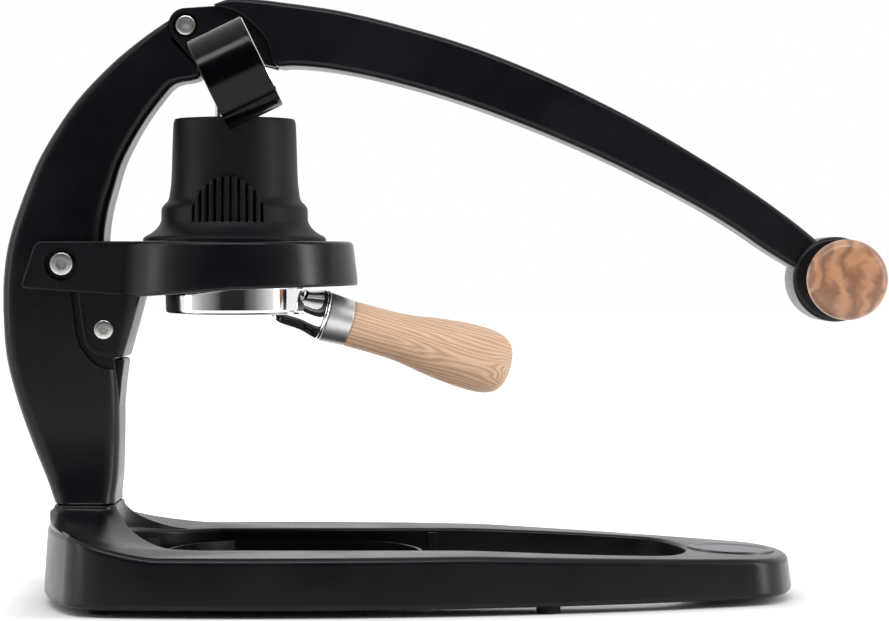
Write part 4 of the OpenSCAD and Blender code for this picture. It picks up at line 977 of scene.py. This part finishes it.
def camera_white_and_painted_shadow(nt, shown, strength):
    """Adds white for rays that show the floor to the camera, less of it close round the base as a
    painted shadow.
    """
    place = new_node(nt, "NewGeometry").outputs["Position"]
    xyz = new_node(nt, "SeparateXYZ", {"Vector": place})
    x, y = xyz.outputs["X"], xyz.outputs["Y"]
    off = calc(nt, "ABSOLUTE", calc(nt, "SUBTRACT", x, BASE_WIDEST))
    bow = calc(nt, "DIVIDE", calc(nt, "POWER", off, 2.0), BASE_BOW)
    past_side = calc(nt, "SUBTRACT", calc(nt, "ADD", calc(nt, "ABSOLUTE", y), bow), BASE_HALF)
    past_end = calc(nt, "MAXIMUM", calc(nt, "SUBTRACT", x, BASE_ENDS[1]),
                    calc(nt, "SUBTRACT", BASE_ENDS[0], x))
    past = calc(nt, "MAXIMUM", past_side, past_end)
    # The white thins out close round the base: a painted shadow.
    painted_shadow_fade = remap(nt, past, (0.0, strength), (-0.012, 0.045), "SMOOTHSTEP")
    ray = new_node(nt, "LightPath").outputs
    mirrored = calc(nt, "MAXIMUM", ray["Is Glossy Ray"], ray["Is Transmission Ray"])
    seen = calc(nt, "MAXIMUM", ray["Is Camera Ray"], mirrored)
    white = new_node(nt, "Emission", {"Strength": calc(nt, "MULTIPLY", seen, painted_shadow_fade)})
    return new_node(nt, "AddShader", {0: shown, 1: white.outputs["Emission"]}).outputs["Shader"]


def floor_material():
    m, nt, p = surface("floor_white")
    feed(nt, p, {"Base Color": (0.86, 0.86, 0.86, 1), "Roughness": 0.9, "Specular IOR Level": 0.1})
    feed(nt, nt.nodes["Material Output"], {"Surface": camera_white_and_painted_shadow(nt, p.outputs["BSDF"], 0.42)})
    return m


me = bpy.data.meshes.new("floor")
me.from_pydata([(-8, -1.5, 0), (8, -1.5, 0), (8, 8, 0), (-8, 8, 0)], [], [(0, 1, 2, 3)])
floor = bpy.data.objects.new("floor", me)
me.materials.append(floor_material())
bpy.context.scene.collection.objects.link(floor)


# Brightness of the room on the camera's side, by direction to the side from -1 to 1.
SIDE_LIGHT = [(-1.0, 0.6), (-0.6, 0.25), (-0.3, 0.02), (0.3, 0.02), (0.6, 0.2), (1.0, 0.8)]


def studio():
    """White room behind and above, dark toward the camera and lighter to both sides."""
    world = bpy.data.worlds.new("studio")
    bpy.context.scene.world = world
    world.use_nodes = True
    nt = world.node_tree
    place = new_node(nt, "TexCoord").outputs["Generated"]
    xyz = new_node(nt, "SeparateXYZ", {"Vector": place}).outputs
    behind = remap(nt, xyz["Y"], (0.0, 1.0), (-0.7, -0.05), "SMOOTHSTEP")
    ramp = new_node(nt, "ValToRGB", {"Fac": remap(nt, xyz["X"], (0.0, 1.0), (-1.0, 1.0))})
    stops = ramp.color_ramp.elements
    for i, (x, v) in enumerate(SIDE_LIGHT):
        at = (x + 1) / 2
        stop = stops[0] if i == 0 else stops[-1] if i == len(SIDE_LIGHT) - 1 else stops.new(at)
        stop.position = at
        stop.color = (v, v, v, 1)
    ray = new_node(nt, "LightPath").outputs
    shown = calc(nt, "MAXIMUM", ray["Is Camera Ray"], ray["Is Transmission Ray"])
    room = new_node(nt, "Mix", {"Factor": calc(nt, "MAXIMUM", behind, shown),
                                "A": ramp.outputs["Color"], "B": (1, 1, 1, 1)}, data_type="RGBA")
    feed(nt, nt.nodes["Background"], {"Color": room.outputs["Result"]})


studio()


def area(name, loc, target, size, power):
    """Rectangular lamp at loc, turned to target."""
    li = bpy.data.lights.new(name, "AREA")
    li.energy = power
    li.shape = "RECTANGLE"
    li.size, li.size_y = size
    o = bpy.data.objects.new(name, li)
    o.location = loc
    o.rotation_euler = (Vector(target) - Vector(loc)).to_track_quat("-Z", "Y").to_euler()
    bpy.context.scene.collection.objects.link(o)


area("top", (-0.1, -0.75, 1.15), (0, 0, 0.12), (1.4, 0.25), 9)
area("left", (-1.5, -0.32, 0.45), (0, 0, 0.15), (0.34, 1.1), 3.6)
area("right", (1.4, -0.34, 0.5), (0, 0, 0.15), (0.34, 1.1), 9)

cam = bpy.data.cameras.new("cam")
cam.lens = 113.87
cam.sensor_width = 36
cam.shift_y = -45.5 / 889
cam.clip_end = 50
co = bpy.data.objects.new("cam", cam)
co.location = (0.00215, -1.350, 0.1584)
co.rotation_euler = (math.pi / 2, 0, 0)
bpy.context.scene.collection.objects.link(co)
bpy.context.scene.camera = co

bpy.context.scene.view_settings.view_transform = "Standard"
